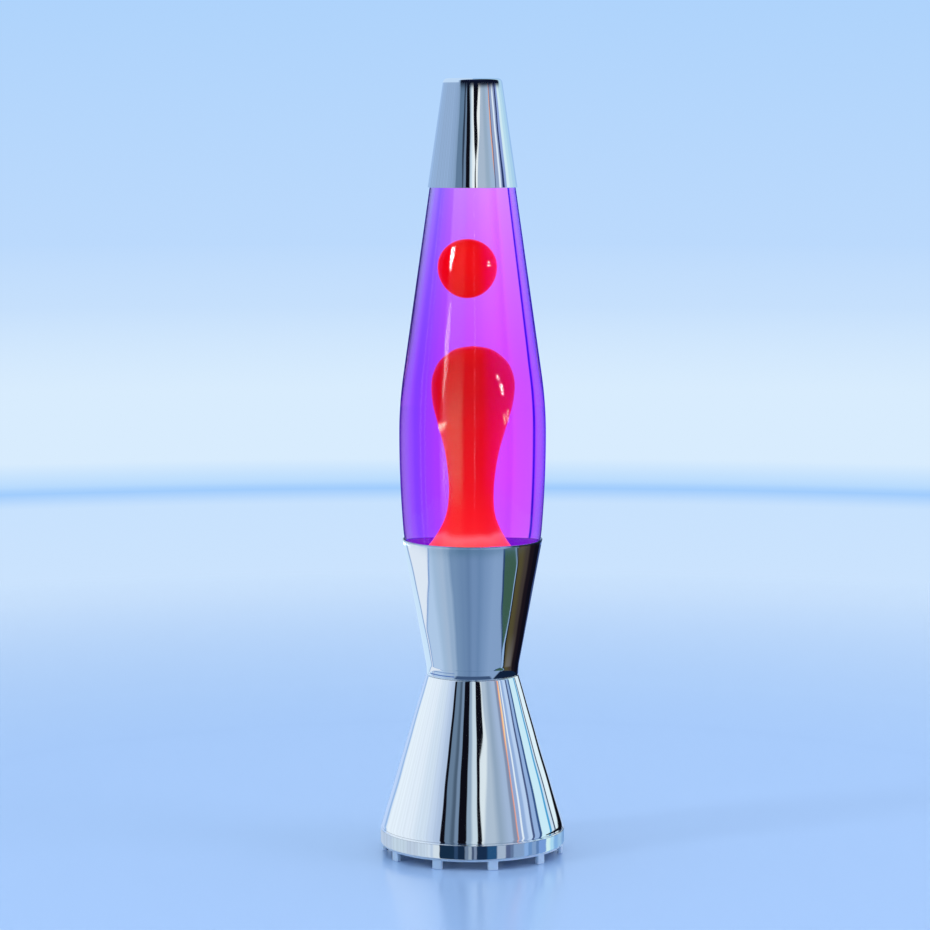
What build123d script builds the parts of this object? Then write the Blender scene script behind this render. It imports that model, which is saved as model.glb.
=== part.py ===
from build123d import *
from math import acos, asin, atan, atan2, cos, degrees, hypot, radians, sin, sqrt, tan
import os

# A mains lava lamp that stands on a table: a polished double cone of spun aluminium holds a tapered
# glass bottle of dyed liquid and wax over a small reflector bulb, and a polished cap covers the neck.
# Millimetres. The origin is on the table under the lamp's axis, +Z is up and -Y is the front.
# Every turned piece is drawn as an outline of (radius, height) points and revolved about Z.

# ---- driving dimensions ----------------------------------------------------------------------------

LAMP_HEIGHT = 370.0

# Foot and lower cone
PEG_COUNT = 10
PEG_FIRST_ANGLE = -77.0  # degrees from +X: the first peg is 13 degrees to the right of the front
PEG_HEIGHT = 4.1
PEG_WIDTH = 4.9
PEG_DEPTH = 2.2
TRAY_RADIUS = 43.4
BAND_RADIUS = 44.15
BAND_BOTTOM = 5.35
BAND_TOP = 12.2
CONE_FOOT_Z = 12.4
CONE_FOOT_ARC = 7.0
LOWER_WALL = 0.9
WAIST_Z = 86.45
WAIST_RADIUS = 22.0
CONE_TAPER = 0.2954  # radius gained per millimetre downwards

# Upper cone, which is the bottle's cup
CUP_WALL = 0.6
COLLAR_RADIUS = 21.9
COLLAR_ARC = 30.0  # the taper runs down into the upright collar along this arc
LIP_RADIUS = 33.35
LIP_Z = 151.8
FLANGE_OPENING = 14.6
RIVET_COUNT = 3
RIVET_CIRCLE = 19.4

# Bottle
GLASS_WALL = 2.4
BOTTLE_BOTTOM = 87.2
BELLY_RADIUS = 34.9
BELLY_Z = 202.0
BELLY_ARC_BELOW = 560.0
BELLY_ARC_ABOVE = 200.0
CUP_BEND_ARC = 60.0
CUP_BEND_ANGLE = 4.62  # degrees of taper where the belly's arc meets the bend into the cup
CUP_TAPER_ANGLE = 10.498  # degrees of taper inside the cup
NECK_TAPER_ANGLE = 8.07  # degrees of taper above the belly
HEEL_ARC = 4.5
SHOULDER_Z = 338.0
NECK_Z = 345.5
NECK_RADIUS = 12.7
BEAD_RADIUS = 13.3
BOTTLE_TOP = 355.6
MOUTH_RADIUS = 8.2
FILL_Z = 341.0

# Wax
BLOB_X = -1.9
BLOB_BOTTOM = 265.9
BLOB_WIDEST_Z = 280.4
BLOB_TOP = 293.9
BLOB_RADIUS = 10.6
BLOB_CLEARANCE = 0.05
COLUMN_TOP = 243.3

# Cap
CAP_BOTTOM = 318.9
CAP_RADIUS = 21.15
CAP_TAPER = 0.145
CAP_WALL = 0.5
CAP_SHOULDER_ARC = 2.2

# Reflector bulb with a small Edison screw, and its holder
BULB_TIP_Z = 14.6
BULB_FACE_Z = 80.5
BULB_RADIUS = 19.5
BULB_GLASS = 0.8
SCREW_CREST = 6.95
SCREW_ROOT = 6.45
SCREW_PITCH = 2.82
SCREW_BOTTOM = 19.0
SCREW_TURNS = 5
HOLDER_TOP = 36.3
HOLDER_RADIUS = 12.5
HOLDER_BASE_RADIUS = 15.0

# Base tray and what it carries
TRAY_FLOOR_BOTTOM = 6.5
TRAY_FLOOR_TOP = 8.2
TRAY_WALL_RADIUS = 42.2
SPIDER_THICKNESS = 0.6
SPIDER_ARM_WIDTH = 8.0
SPIDER_FIRST_ANGLE = 60.0  # clear of the cord and of the terminal block
CORD_ANGLE = 85.0  # degrees from +X: the cord leaves at the back, between two pegs
CORD_BORE_RADIUS = 2.6
CORD_BORE_CIRCLE = 30.0
GROMMET_SEAT_RADIUS = 4.2
FIT_GAP = 0.02


# ---- helpers ---------------------------------------------------------------------------------------


def at(radius, height):
    """A point of a turned piece's outline, in the XZ plane."""
    return (radius, 0, height)


def polar(circle, angle, height=0.0):
    """A point on a circle about Z."""
    return (circle * cos(radians(angle)), circle * sin(radians(angle)), height)


def outline(start, *steps):
    """Closed chain of edges: a step is the next point, or (middle, end) of an arc."""
    edges, here = [], start
    for step in [*steps, start]:
        if isinstance(step[0], tuple):
            middle, end = step
            edges.append(ThreePointArc(at(*here), at(*middle), at(*end)))
            here = end
        elif step != here:
            edges.append(Line(at(*here), at(*step)))
            here = step
    return edges


def turned(start, *steps):
    """Solid of revolution about Z of a closed outline."""
    return revolve(make_face(outline(start, *steps)), Axis.Z)


def arc_point(centre, radius, angle):
    """The point of an arc where its outward normal leans angle degrees below the horizontal."""
    return (
        centre[0] + radius * cos(radians(angle)),
        centre[1] - radius * sin(radians(angle)),
    )


def arc_step(centre, radius, start_angle, end_angle):
    """An outline step along an arc, from one lean of its normal to another."""
    middle = arc_point(centre, radius, (start_angle + end_angle) / 2)
    return (middle, arc_point(centre, radius, end_angle))


def dome(radius, edge_z, crown_z):
    """An outline step from (radius, edge_z) to the axis along a sphere, which rises or falls to crown_z."""
    sag = abs(crown_z - edge_z)
    sphere = (radius**2 + sag**2) / (2 * sag)
    middle_radius = sphere * sin(asin(radius / sphere) / 2)
    drop = sphere - sqrt(sphere**2 - middle_radius**2)
    middle_z = crown_z - drop if crown_z > edge_z else crown_z + drop
    return ((middle_radius, middle_z), (0, crown_z))


def tube(inner, outer, bottom, top):
    return turned((inner, bottom), (outer, bottom), (outer, top), (inner, top))


def disc(radius, bottom, top):
    return turned((0, bottom), (radius, bottom), (radius, top), (0, top))


def rod(x, y, radius, bottom, top):
    """An upright round bar."""
    return Pos(x, y, (bottom + top) / 2) * Cylinder(radius, top - bottom)


def block(x, y, size_x, size_y, bottom, top):
    """An upright rectangular bar."""
    return Pos(x, y, (bottom + top) / 2) * Box(size_x, size_y, top - bottom)


def around(shape, count, first_angle=0.0):
    """Copies of a shape turned evenly about Z."""
    return [Rot(0, 0, first_angle + k * 360 / count) * shape for k in range(count)]


def joined(shapes):
    """One shape from touching ones."""
    shapes = list(shapes)
    return shapes[0] + shapes[1:] if len(shapes) > 1 else shapes[0]


def screw(x, y, head_z, end_z, radius, head_radius, head_height):
    """A cross-head pan screw, head up."""
    body = rod(x, y, radius, end_z, head_z)
    head = rod(x, y, head_radius, head_z, head_z + head_height)
    head = fillet(head.edges().sort_by(Axis.Z)[-1], head_height * 0.45)
    recess_top = head_z + head_height
    for width, depth in ((head_radius * 1.1, 0.4), (0.4, head_radius * 1.1)):
        head -= block(x, y, width, depth, recess_top - 0.6, recess_top + 1)
    return body + head


# ---- polished shells -------------------------------------------------------------------------------


def cone_radius(z):
    """Outside radius of the lower cone."""
    return WAIST_RADIUS + (WAIST_Z - z) * CONE_TAPER


def lower_cone():
    """Flared foot: an upright band, a ledge, the cone and an inward flange at the waist."""
    lean = -degrees(atan(CONE_TAPER))
    arc_end_z = CONE_FOOT_Z + CONE_FOOT_ARC * sin(radians(-lean))
    centre = (cone_radius(arc_end_z) - CONE_FOOT_ARC * cos(radians(lean)), CONE_FOOT_Z)
    inner_arc = CONE_FOOT_ARC - LOWER_WALL
    band_inside = BAND_RADIUS - LOWER_WALL
    wall_across = LOWER_WALL * sqrt(1 + CONE_TAPER**2)
    underside = WAIST_Z - LOWER_WALL
    return turned(
        (band_inside, BAND_BOTTOM),
        (BAND_RADIUS, BAND_BOTTOM),
        (BAND_RADIUS, BAND_TOP),
        (centre[0] + CONE_FOOT_ARC, CONE_FOOT_Z),
        arc_step(centre, CONE_FOOT_ARC, 0, lean),
        (cone_radius(WAIST_Z - 0.5), WAIST_Z - 0.5),
        (WAIST_RADIUS - 0.5, WAIST_Z),
        (FLANGE_OPENING, WAIST_Z),
        (FLANGE_OPENING, underside),
        (cone_radius(underside) - wall_across, underside),
        arc_point(centre, inner_arc, lean),
        (arc_point(centre, inner_arc, lean / 2), arc_point(centre, inner_arc, 0)),
        (band_inside, BAND_TOP - 0.5),
    )


def upper_cone():
    """Cup for the bottle: a flange, a collar that flares along an arc, then a taper to a rolled lip."""
    flange_bottom = WAIST_Z + FIT_GAP
    flange_top = flange_bottom + CUP_WALL
    lip_inside = LIP_RADIUS - CUP_WALL
    below_lip = (LIP_RADIUS - 0.2, LIP_Z - 1.0)
    centre = (COLLAR_RADIUS + COLLAR_ARC, flange_top)
    inwards, upwards = centre[0] - below_lip[0], below_lip[1] - centre[1]
    flare = degrees(atan2(upwards, inwards) - acos(COLLAR_ARC / hypot(upwards, inwards)))
    inner_arc = COLLAR_ARC + CUP_WALL
    return turned(
        (FLANGE_OPENING, flange_bottom),
        (COLLAR_RADIUS - 0.6, flange_bottom),
        ((COLLAR_RADIUS - 0.18, flange_bottom + 0.18), (COLLAR_RADIUS, flange_top)),
        arc_step(centre, COLLAR_ARC, 180, 180 + flare),
        below_lip,
        (LIP_RADIUS, LIP_Z - CUP_WALL / 2),
        ((LIP_RADIUS - CUP_WALL / 2, LIP_Z), (lip_inside, LIP_Z - CUP_WALL / 2)),
        (lip_inside - 0.1, LIP_Z - 1.0),
        arc_point(centre, inner_arc, 180 + flare),
        (arc_point(centre, inner_arc, 180 + flare / 2), (COLLAR_RADIUS - CUP_WALL, flange_top)),
        (FLANGE_OPENING, flange_top),
    )


def waist_rivets():
    """Flat rivets through both flanges."""
    head, low = 1.0, WAIST_Z - LOWER_WALL
    high = WAIST_Z + FIT_GAP + CUP_WALL
    one = disc(0.75, low, high) + disc(head, high, high + 0.4) + disc(head, low - 0.4, low)
    return around(Pos(RIVET_CIRCLE, 0, 0) * one, RIVET_COUNT, SPIDER_FIRST_ANGLE)


def rivet_holes():
    hole = rod(RIVET_CIRCLE, 0, 0.75 + FIT_GAP, WAIST_Z - 2, WAIST_Z + 2)
    return around(hole, RIVET_COUNT, SPIDER_FIRST_ANGLE)


def top_cap():
    """Tapered cover for the neck, closed at the top, with a rounded shoulder."""
    lean = -degrees(atan(CAP_TAPER))
    arc_z = LAMP_HEIGHT - CAP_SHOULDER_ARC
    tangent_z = arc_z + CAP_SHOULDER_ARC * sin(radians(-lean))
    tangent_radius = CAP_RADIUS - (tangent_z - CAP_BOTTOM) * CAP_TAPER
    centre = (tangent_radius - CAP_SHOULDER_ARC * cos(radians(lean)), arc_z)
    inner_arc = CAP_SHOULDER_ARC - CAP_WALL
    wall_across = CAP_WALL * sqrt(1 + CAP_TAPER**2)
    edge = CAP_WALL / 2
    return turned(
        (CAP_RADIUS - wall_across, CAP_BOTTOM + edge),
        ((CAP_RADIUS - wall_across / 2, CAP_BOTTOM), (CAP_RADIUS, CAP_BOTTOM + edge)),
        (tangent_radius, tangent_z),
        arc_step(centre, CAP_SHOULDER_ARC, lean, -90),
        (0, LAMP_HEIGHT),
        (0, LAMP_HEIGHT - CAP_WALL),
        (centre[0], LAMP_HEIGHT - CAP_WALL),
        (arc_point(centre, inner_arc, (lean - 90) / 2), arc_point(centre, inner_arc, lean)),
    )


# ---- bottle and its contents -----------------------------------------------------------------------


def bottle_wall(inset):
    """Outline steps of the bottle's side from the cup's taper up to the shoulder, inset from the outside."""
    below = (BELLY_RADIUS - BELLY_ARC_BELOW, BELLY_Z)
    above = (BELLY_RADIUS - BELLY_ARC_ABOVE, BELLY_Z)
    bend = arc_point(below, BELLY_ARC_BELOW - CUP_BEND_ARC, CUP_BEND_ANGLE)
    foot = arc_point(bend, CUP_BEND_ARC - inset, CUP_TAPER_ANGLE)
    top = arc_point(above, BELLY_ARC_ABOVE - inset, -NECK_TAPER_ANGLE)
    shoulder_radius = top[0] - (SHOULDER_Z - top[1]) * tan(radians(NECK_TAPER_ANGLE))
    return foot, [
        arc_step(bend, CUP_BEND_ARC - inset, CUP_TAPER_ANGLE, CUP_BEND_ANGLE),
        arc_step(below, BELLY_ARC_BELOW - inset, CUP_BEND_ANGLE, 0),
        arc_step(above, BELLY_ARC_ABOVE - inset, 0, -NECK_TAPER_ANGLE),
        (shoulder_radius, SHOULDER_Z),
    ]


def heel(foot, bottom, arc):
    """The heel arc between the bottle's flat bottom ring and its tapered side: its two ends and middle."""
    centre_z = bottom + arc
    tangent_z = centre_z - arc * sin(radians(CUP_TAPER_ANGLE))
    tangent_radius = foot[0] - (foot[1] - tangent_z) * tan(radians(CUP_TAPER_ANGLE))
    centre = (tangent_radius - arc * cos(radians(CUP_TAPER_ANGLE)), centre_z)
    return (
        arc_point(centre, arc, 90),
        (
            arc_point(centre, arc, (90 + CUP_TAPER_ANGLE) / 2),
            (tangent_radius, tangent_z),
        ),
    )


INSIDE_BOTTOM = BOTTLE_BOTTOM + 5.4
INSIDE_HEEL_ARC = 6.0
MOUTH_SHOULDER_Z = NECK_Z - 0.5


def glass_bottle():
    """Tapered bottle with a punt, a belly, a narrow neck and a crown-cap bead."""
    foot, side = bottle_wall(0)
    ring, heel_arc = heel(foot, BOTTLE_BOTTOM, HEEL_ARC)
    inner_foot, inner_side = bottle_wall(GLASS_WALL)
    inner_ring, inner_heel = heel(inner_foot, INSIDE_BOTTOM, INSIDE_HEEL_ARC)
    rim = (ring[0] - 2.0, BOTTLE_BOTTOM + 0.8)
    punt_middle, punt_crown = dome(*rim, BOTTLE_BOTTOM + 3.0)
    outside = turned(
        rim,
        ring,
        heel_arc,
        foot,
        *side,
        ((NECK_RADIUS + 2.2, NECK_Z - 3.4), (NECK_RADIUS, NECK_Z)),
        (NECK_RADIUS, NECK_Z + 4.5),
        (BEAD_RADIUS, NECK_Z + 5.1),
        (BEAD_RADIUS, BOTTLE_TOP - 1.2),
        ((BEAD_RADIUS - 0.35, BOTTLE_TOP - 0.35), (BEAD_RADIUS - 1.2, BOTTLE_TOP)),
        (0, BOTTLE_TOP),
        punt_crown,
        (punt_middle, rim),
    )
    return outside - cavity(BOTTLE_TOP + 1)


def cavity(top_z):
    """The space inside the bottle, up to a height."""
    foot, side = bottle_wall(GLASS_WALL)
    ring, heel_arc = heel(foot, INSIDE_BOTTOM, INSIDE_HEEL_ARC)
    whole = turned(
        (0, INSIDE_BOTTOM),
        ring,
        heel_arc,
        foot,
        *side,
        ((MOUTH_RADIUS + 2.4, MOUTH_SHOULDER_Z - 2.6), (MOUTH_RADIUS, MOUTH_SHOULDER_Z + 1.5)),
        (MOUTH_RADIUS, BOTTLE_TOP + 1),
        (0, BOTTLE_TOP + 1),
    )
    return whole if top_z > BOTTLE_TOP else whole & disc(BELLY_RADIUS, 0, top_z)


def wax_shape():
    """Everything that the resting wax would fill if the glass didn't stop it: a pool drawn up to a bulb."""
    surface = Spline(
        at(31.0, 139.5),
        at(17.0, 147.8),
        at(9.9, 160.5),
        at(8.05, 174.5),
        at(9.4, 192.3),
        at(12.4, 206.7),
        at(15.0, 223.4),
        at(11.9, 236.2),
        at(0, COLUMN_TOP),
        tangents=[(-1, 0, 0.2), (-1, 0, 0)],
    )
    rest = Polyline(at(0, COLUMN_TOP), at(0, 80), at(31.0, 80), at(31.0, 139.5))
    return revolve(make_face([surface, *rest.edges()]), Axis.Z)


def egg(grown=0.0):
    """The floating blob: an egg, blunt end up, standing a little off the axis."""
    side = Spline(
        at(0, BLOB_BOTTOM - grown),
        at(BLOB_RADIUS + grown, BLOB_WIDEST_Z),
        at(0, BLOB_TOP + grown),
        tangents=[(1, 0, 0), (0, 0, 1), (-1, 0, 0)],
    )
    axis = Line(at(0, BLOB_TOP + grown), at(0, BLOB_BOTTOM - grown))
    return Pos(BLOB_X, 0, 0) * revolve(make_face([side, axis]), Axis.Z)


def wax_column():
    return (cavity(BOTTLE_TOP + 2) & wax_shape()) - heating_coil()


def liquid():
    return cavity(FILL_Z) - wax_shape() - egg(BLOB_CLEARANCE)


def heating_coil():
    """Loose steel coil on the bottle's bottom, inside the wax, that spreads the heat."""
    wire, pitch, turns = 0.7, 2.4, 4
    path = Helix(pitch=pitch, height=pitch * turns, radius=12.5)
    section = Plane(origin=path @ 0, z_dir=path % 0) * Circle(wire)
    return Pos(0, 0, INSIDE_BOTTOM + 1.2) * sweep(section, path=path)


def crown_cap():
    """Crimped steel closure with fluted skirt."""
    inside, wall, flute, flutes = BEAD_RADIUS + 0.1, 0.75, 0.9, 21
    top = BOTTLE_TOP + 0.4
    skirt = NECK_Z + 4.9
    shell = turned(
        (inside, skirt),
        (inside + wall + 0.4, skirt),
        (inside + wall - 0.1, top - 1.2),
        ((inside + 0.45, top), (inside - 0.7, top + 0.35)),
        (0, top + 0.35),
        (0, top),
        (inside - 0.5, top),
        (inside, top - 0.6),
    )
    groove = rod(inside + wall + 0.75, 0, flute, skirt - 1, top - 0.9)
    return shell - joined(around(groove, flutes))


def crown_liner():
    return disc(BEAD_RADIUS - 0.4, BOTTLE_TOP + FIT_GAP, BOTTLE_TOP + 0.4 - FIT_GAP)


# ---- bulb ------------------------------------------------------------------------------------------

NECK_IN_CAP = 6.0
COLLAR_Z = HOLDER_TOP + 0.6


def bulb_outline(inset):
    """Outline points of the bulb's glass from its neck in the metal cap to the middle of its face."""
    face = BULB_FACE_Z - inset
    return [
        (NECK_IN_CAP - inset, COLLAR_Z - 6.0),
        (NECK_IN_CAP - inset, COLLAR_Z + 1.0),
        ((8.6 - inset, COLLAR_Z + 8.0), (14.6 - inset, COLLAR_Z + 19.0)),
        ((18.2 - inset, COLLAR_Z + 27.0), (BULB_RADIUS - inset, COLLAR_Z + 35.5)),
        ((BULB_RADIUS - 0.9 - inset, COLLAR_Z + 37.4), (BULB_RADIUS - 2.9 - inset, face - 3.6)),
        dome(BULB_RADIUS - 2.9 - inset, face - 3.6, face),
    ]


def bulb_envelope():
    """Blown glass reflector envelope, open at the neck."""
    outside, inside = bulb_outline(0), bulb_outline(BULB_GLASS)
    solid = turned(*outside, (0, outside[0][1]))
    return solid - turned(*inside, (0, inside[0][1] - 1), (inside[0][0], inside[0][1] - 1))


def bulb_screw_cap():
    """Threaded shell with a collar. The rounded thread is drawn as rings."""
    steps, z = [], SCREW_BOTTOM
    for _ in range(SCREW_TURNS):
        steps.append(((SCREW_CREST, z + SCREW_PITCH * 0.4), (SCREW_ROOT, z + SCREW_PITCH * 0.8)))
        z += SCREW_PITCH
        steps.append((SCREW_ROOT, z))
    return turned(
        (SCREW_ROOT - 1.6, SCREW_BOTTOM - 1.2),
        (SCREW_ROOT, SCREW_BOTTOM),
        *steps,
        (SCREW_ROOT, COLLAR_Z - 0.5),
        (8.5, COLLAR_Z),
        (8.5, COLLAR_Z + 1.6),
        (7.4, COLLAR_Z + 2.0),
        (NECK_IN_CAP + 0.9, COLLAR_Z + 1.6),
        (NECK_IN_CAP + 0.1, COLLAR_Z),
        (NECK_IN_CAP + 0.1, SCREW_BOTTOM + 0.6),
        (SCREW_ROOT - 1.6, SCREW_BOTTOM - 0.4),
    )


def bulb_insulator():
    return turned(
        (0, BULB_TIP_Z + 1.0),
        (2.6, BULB_TIP_Z + 1.0),
        (SCREW_ROOT - 1.7, SCREW_BOTTOM - 1.2),
        (SCREW_ROOT - 1.7, SCREW_BOTTOM - 0.3),
        (0, SCREW_BOTTOM - 0.3),
    )


def bulb_tip_contact():
    top = BULB_TIP_Z + 1.0 - FIT_GAP
    return turned((2.4, top), dome(2.4, top, BULB_TIP_Z), (0, top))


STEM_TOP = 47.0
FILAMENT_Z = 60.0


def bulb_stem():
    """Glass mount inside the bulb: a flare in the neck and a rod."""
    bottom = COLLAR_Z - 5.6
    return turned(
        (0, bottom),
        (NECK_IN_CAP - BULB_GLASS - 0.1, bottom),
        (NECK_IN_CAP - BULB_GLASS - 0.1, bottom + 1.2),
        (1.6, COLLAR_Z + 2.0),
        (1.6, STEM_TOP),
        (0, STEM_TOP),
    )


def filament_supports():
    """Two stiff lead-in wires, which spread from the stem to the filament's ends."""
    wires = []
    for side in (-1, 1):
        path = FilletPolyline(
            (side * 0.9, 0, STEM_TOP + FIT_GAP),
            (side * 0.9, 0, STEM_TOP + 3),
            (side * 7.0, 0, FILAMENT_Z),
            radius=3,
        )
        section = Plane(origin=path @ 0, z_dir=path % 0) * Circle(0.3)
        wires.append(sweep(section, path=path))
    return wires


def bulb_filament():
    """Coiled filament between the supports, drawn as a bowed wire of the coil's width."""
    path = ThreePointArc((-7.0, 0, FILAMENT_Z + 0.4), (0, 0, FILAMENT_Z + 2.4), (7.0, 0, FILAMENT_Z + 0.4))
    return sweep(Plane(origin=path @ 0, z_dir=path % 0) * Circle(0.35), path=path)


# ---- base tray and lampholder ----------------------------------------------------------------------

SPIDER_TOP = TRAY_FLOOR_TOP + SPIDER_THICKNESS
HOLDER_SCREW_CIRCLE = 18.5
SPIDER_SCREW_CIRCLE = 31.0
SCREW_RADIUS = 1.4
TERMINAL_Y = -28.5
TERMINAL_PITCH = 7.0
LEAD_RADIUS = 1.0
LEAD_Z = SPIDER_TOP + 5.0


def holder_screw_places():
    return [polar(HOLDER_SCREW_CIRCLE, angle)[:2] for angle in (0, 180)]


def spider_screw_places():
    angles = [SPIDER_FIRST_ANGLE + 120 * k for k in range(3)]
    return [polar(SPIDER_SCREW_CIRCLE, angle)[:2] for angle in angles]


def pegs():
    """Small upright feet around the tray's edge."""
    one = block(TRAY_RADIUS - 0.1 - PEG_DEPTH / 2, 0, PEG_DEPTH, PEG_WIDTH, 0, PEG_HEIGHT + 0.4)
    one = fillet(one.edges().filter_by(Axis.Z), 0.7)
    one = fillet(one.faces().sort_by(Axis.Z)[0].edges(), 0.3)
    return around(one, PEG_COUNT, PEG_FIRST_ANGLE)


def base_tray():
    """Moulded tray that closes the foot, with pegs, air slots, screw bosses and the cord's outlet."""
    tray = turned(
        (0, TRAY_FLOOR_BOTTOM),
        (TRAY_WALL_RADIUS - 1.4, TRAY_FLOOR_BOTTOM),
        (TRAY_WALL_RADIUS - 1.4, PEG_HEIGHT),
        (TRAY_RADIUS - 0.3, PEG_HEIGHT),
        (TRAY_RADIUS, PEG_HEIGHT + 0.3),
        (TRAY_RADIUS, BAND_BOTTOM - 0.05),
        (TRAY_WALL_RADIUS, BAND_BOTTOM - 0.05),
        (TRAY_WALL_RADIUS, TRAY_FLOOR_TOP - 0.5),
        (TRAY_WALL_RADIUS - 0.5, TRAY_FLOOR_TOP),
        (0, TRAY_FLOOR_TOP),
    )
    tray += pegs()
    boss_bottom = PEG_HEIGHT + 0.3
    for x, y in [*holder_screw_places(), *spider_screw_places()]:
        tray += rod(x, y, 3.2, boss_bottom, TRAY_FLOOR_BOTTOM)
        tray -= rod(x, y, SCREW_RADIUS + FIT_GAP, boss_bottom + 0.8, TRAY_FLOOR_TOP + 1)
    cord_x, cord_y, _ = polar(CORD_BORE_CIRCLE, CORD_ANGLE)
    tray -= rod(cord_x, cord_y, GROMMET_SEAT_RADIUS, 0, TRAY_FLOOR_TOP + 1)
    notch = block(TRAY_RADIUS, 0, 8.0, 2 * CORD_BORE_RADIUS + 0.6, 0, BAND_BOTTOM)
    tray -= Rot(0, 0, CORD_ANGLE) * notch
    tray -= air_slots()
    return tray


def air_slots():
    """Round-ended slots through the tray's floor, left out where they would meet a screw or the cord."""
    slot_length, slot_width, slot_circle, count = 11.0, 3.0, 28.5, 20
    blocked = [CORD_ANGLE, -90.0, *[SPIDER_FIRST_ANGLE + 120 * k for k in range(3)]]
    slot = extrude(SlotOverall(slot_length, slot_width), TRAY_FLOOR_TOP + 1)
    slots = []
    for k in range(count):
        angle = k * 360 / count
        apart = [abs((angle - b + 180) % 360 - 180) for b in blocked]
        if min(apart) > 14:
            slots.append(Rot(0, 0, angle) * Pos(slot_circle, 0, 0) * slot)
    return joined(slots)


def cord_grommet():
    """Bush in the tray that the mains cord passes through."""
    x, y, _ = polar(CORD_BORE_CIRCLE, CORD_ANGLE)
    seat = GROMMET_SEAT_RADIUS - FIT_GAP
    low, high = TRAY_FLOOR_BOTTOM - FIT_GAP, TRAY_FLOOR_TOP + FIT_GAP
    bush = turned(
        (CORD_BORE_RADIUS, low - 0.9),
        (GROMMET_SEAT_RADIUS + 0.8, low - 0.9),
        (GROMMET_SEAT_RADIUS + 0.8, low),
        (seat, low),
        (seat, high),
        (GROMMET_SEAT_RADIUS + 0.8, high),
        (GROMMET_SEAT_RADIUS + 0.4, high + 1.6),
        (CORD_BORE_RADIUS, high + 1.6),
    )
    return Pos(x, y, 0) * bush


def spring_spider():
    """Sprung steel plate under the holder. Its three arms grip the inside of the foot's band."""
    reach = BAND_RADIUS - LOWER_WALL - 0.2
    plate = tube(5.0, HOLDER_BASE_RADIUS + 6.5, TRAY_FLOOR_TOP, SPIDER_TOP)
    arm = block(reach / 2, 0, reach, SPIDER_ARM_WIDTH, TRAY_FLOOR_TOP, SPIDER_TOP)
    tongue_x = reach - SPIDER_THICKNESS / 2
    arm += block(tongue_x, 0, SPIDER_THICKNESS, SPIDER_ARM_WIDTH, BAND_BOTTOM + 0.3, SPIDER_TOP)
    for a in around(arm, 3, SPIDER_FIRST_ANGLE):
        plate += a
    plate &= disc(reach, 0, SPIDER_TOP)
    plate -= disc(5.0, 0, SPIDER_TOP + 1)
    earth_tab = block(0, -23.0, 6.0, 6.0, TRAY_FLOOR_TOP, SPIDER_TOP)
    plate += earth_tab
    for x, y in [*holder_screw_places(), *spider_screw_places()]:
        plate -= rod(x, y, SCREW_RADIUS + 0.15, 0, SPIDER_TOP + 1)
    return plate


def spider_screws():
    end = PEG_HEIGHT + 1.3
    return [screw(x, y, SPIDER_TOP, end, SCREW_RADIUS, 2.7, 1.5) for x, y in spider_screw_places()]


HOLDER_BORE = 8.9
SHELL_RADIUS = 7.9


def lampholder_body():
    """Moulded holder: a round barrel on a base with two screw ears."""
    base_top = SPIDER_TOP + 3.2
    body = disc(HOLDER_RADIUS, SPIDER_TOP, HOLDER_TOP) + disc(HOLDER_BASE_RADIUS, SPIDER_TOP, base_top)
    body = fillet(body.edges().sort_by(Axis.Z)[-1], 0.8)
    for x, y in holder_screw_places():
        body += rod(x, y, 3.6, SPIDER_TOP, base_top)
    body -= disc(HOLDER_BORE, SPIDER_TOP + 4.4, HOLDER_TOP + 1)
    for x, y in holder_screw_places():
        body -= rod(x, y, SCREW_RADIUS + 0.15, 0, base_top + 1)
    for x in (-TERMINAL_PITCH, TERMINAL_PITCH):
        body -= Pos(lead_end(x)) * Rot(90, 0, 0) * Cylinder(LEAD_RADIUS + FIT_GAP, 8)
    return body


def lampholder_shell():
    """Brass screw shell that the bulb turns in."""
    bottom, top = SPIDER_TOP + 8.0, HOLDER_TOP - 2.0
    shell = tube(SHELL_RADIUS - 0.5, SHELL_RADIUS, bottom, top)
    return shell + tube(SHELL_RADIUS - 0.1, HOLDER_BORE - FIT_GAP, bottom, bottom + 1.2)


def centre_contact():
    """Sprung tongue under the bulb's tip, fixed to the holder's floor."""
    floor = SPIDER_TOP + 4.4 + FIT_GAP
    foot = block(3.0, 0, 6.0, 3.6, floor, floor + 0.5)
    riser = block(5.75, 0, 0.5, 3.6, floor, BULB_TIP_Z - 0.1)
    tongue = block(2.0, 0, 8.0, 3.6, BULB_TIP_Z - 0.6, BULB_TIP_Z - 0.1)
    return foot + riser + tongue


def lampholder_screws():
    head_z, end = SPIDER_TOP + 3.2, PEG_HEIGHT + 1.3
    return [screw(x, y, head_z, end, SCREW_RADIUS, 2.7, 1.6) for x, y in holder_screw_places()]


def terminal_columns():
    return [k * TERMINAL_PITCH for k in (-1, 0, 1)]


def terminal_block():
    """Three-pole block where the cord's cores meet the inner leads."""
    size_x, size_y, height = 3 * TERMINAL_PITCH + 1.0, 9.0, 9.0
    body = block(0, TERMINAL_Y, size_x, size_y, SPIDER_TOP + 0.6, SPIDER_TOP + height)
    body = fillet(body.edges().filter_by(Axis.Z), 1.0)
    for x in terminal_columns():
        body += rod(x, TERMINAL_Y, 2.9, SPIDER_TOP + height, SPIDER_TOP + height + 1.4)
        body -= Pos(x, TERMINAL_Y, LEAD_Z) * Rot(90, 0, 0) * Cylinder(1.3, size_y + 1)
        body -= rod(x, TERMINAL_Y, 1.7, LEAD_Z + 1.8, SPIDER_TOP + height + 2)
    return body


def terminal_screws():
    screws = []
    for x in terminal_columns():
        one = rod(x, TERMINAL_Y, 1.5, LEAD_Z + 1.9, SPIDER_TOP + 8.6)
        one -= block(x, TERMINAL_Y, 4.0, 0.5, SPIDER_TOP + 7.9, SPIDER_TOP + 9.0)
        screws.append(one)
    return screws


def lead_end(x):
    """Where a lead from terminal column x enters the holder."""
    return (x * 0.8, -9.5, LEAD_Z)


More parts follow.
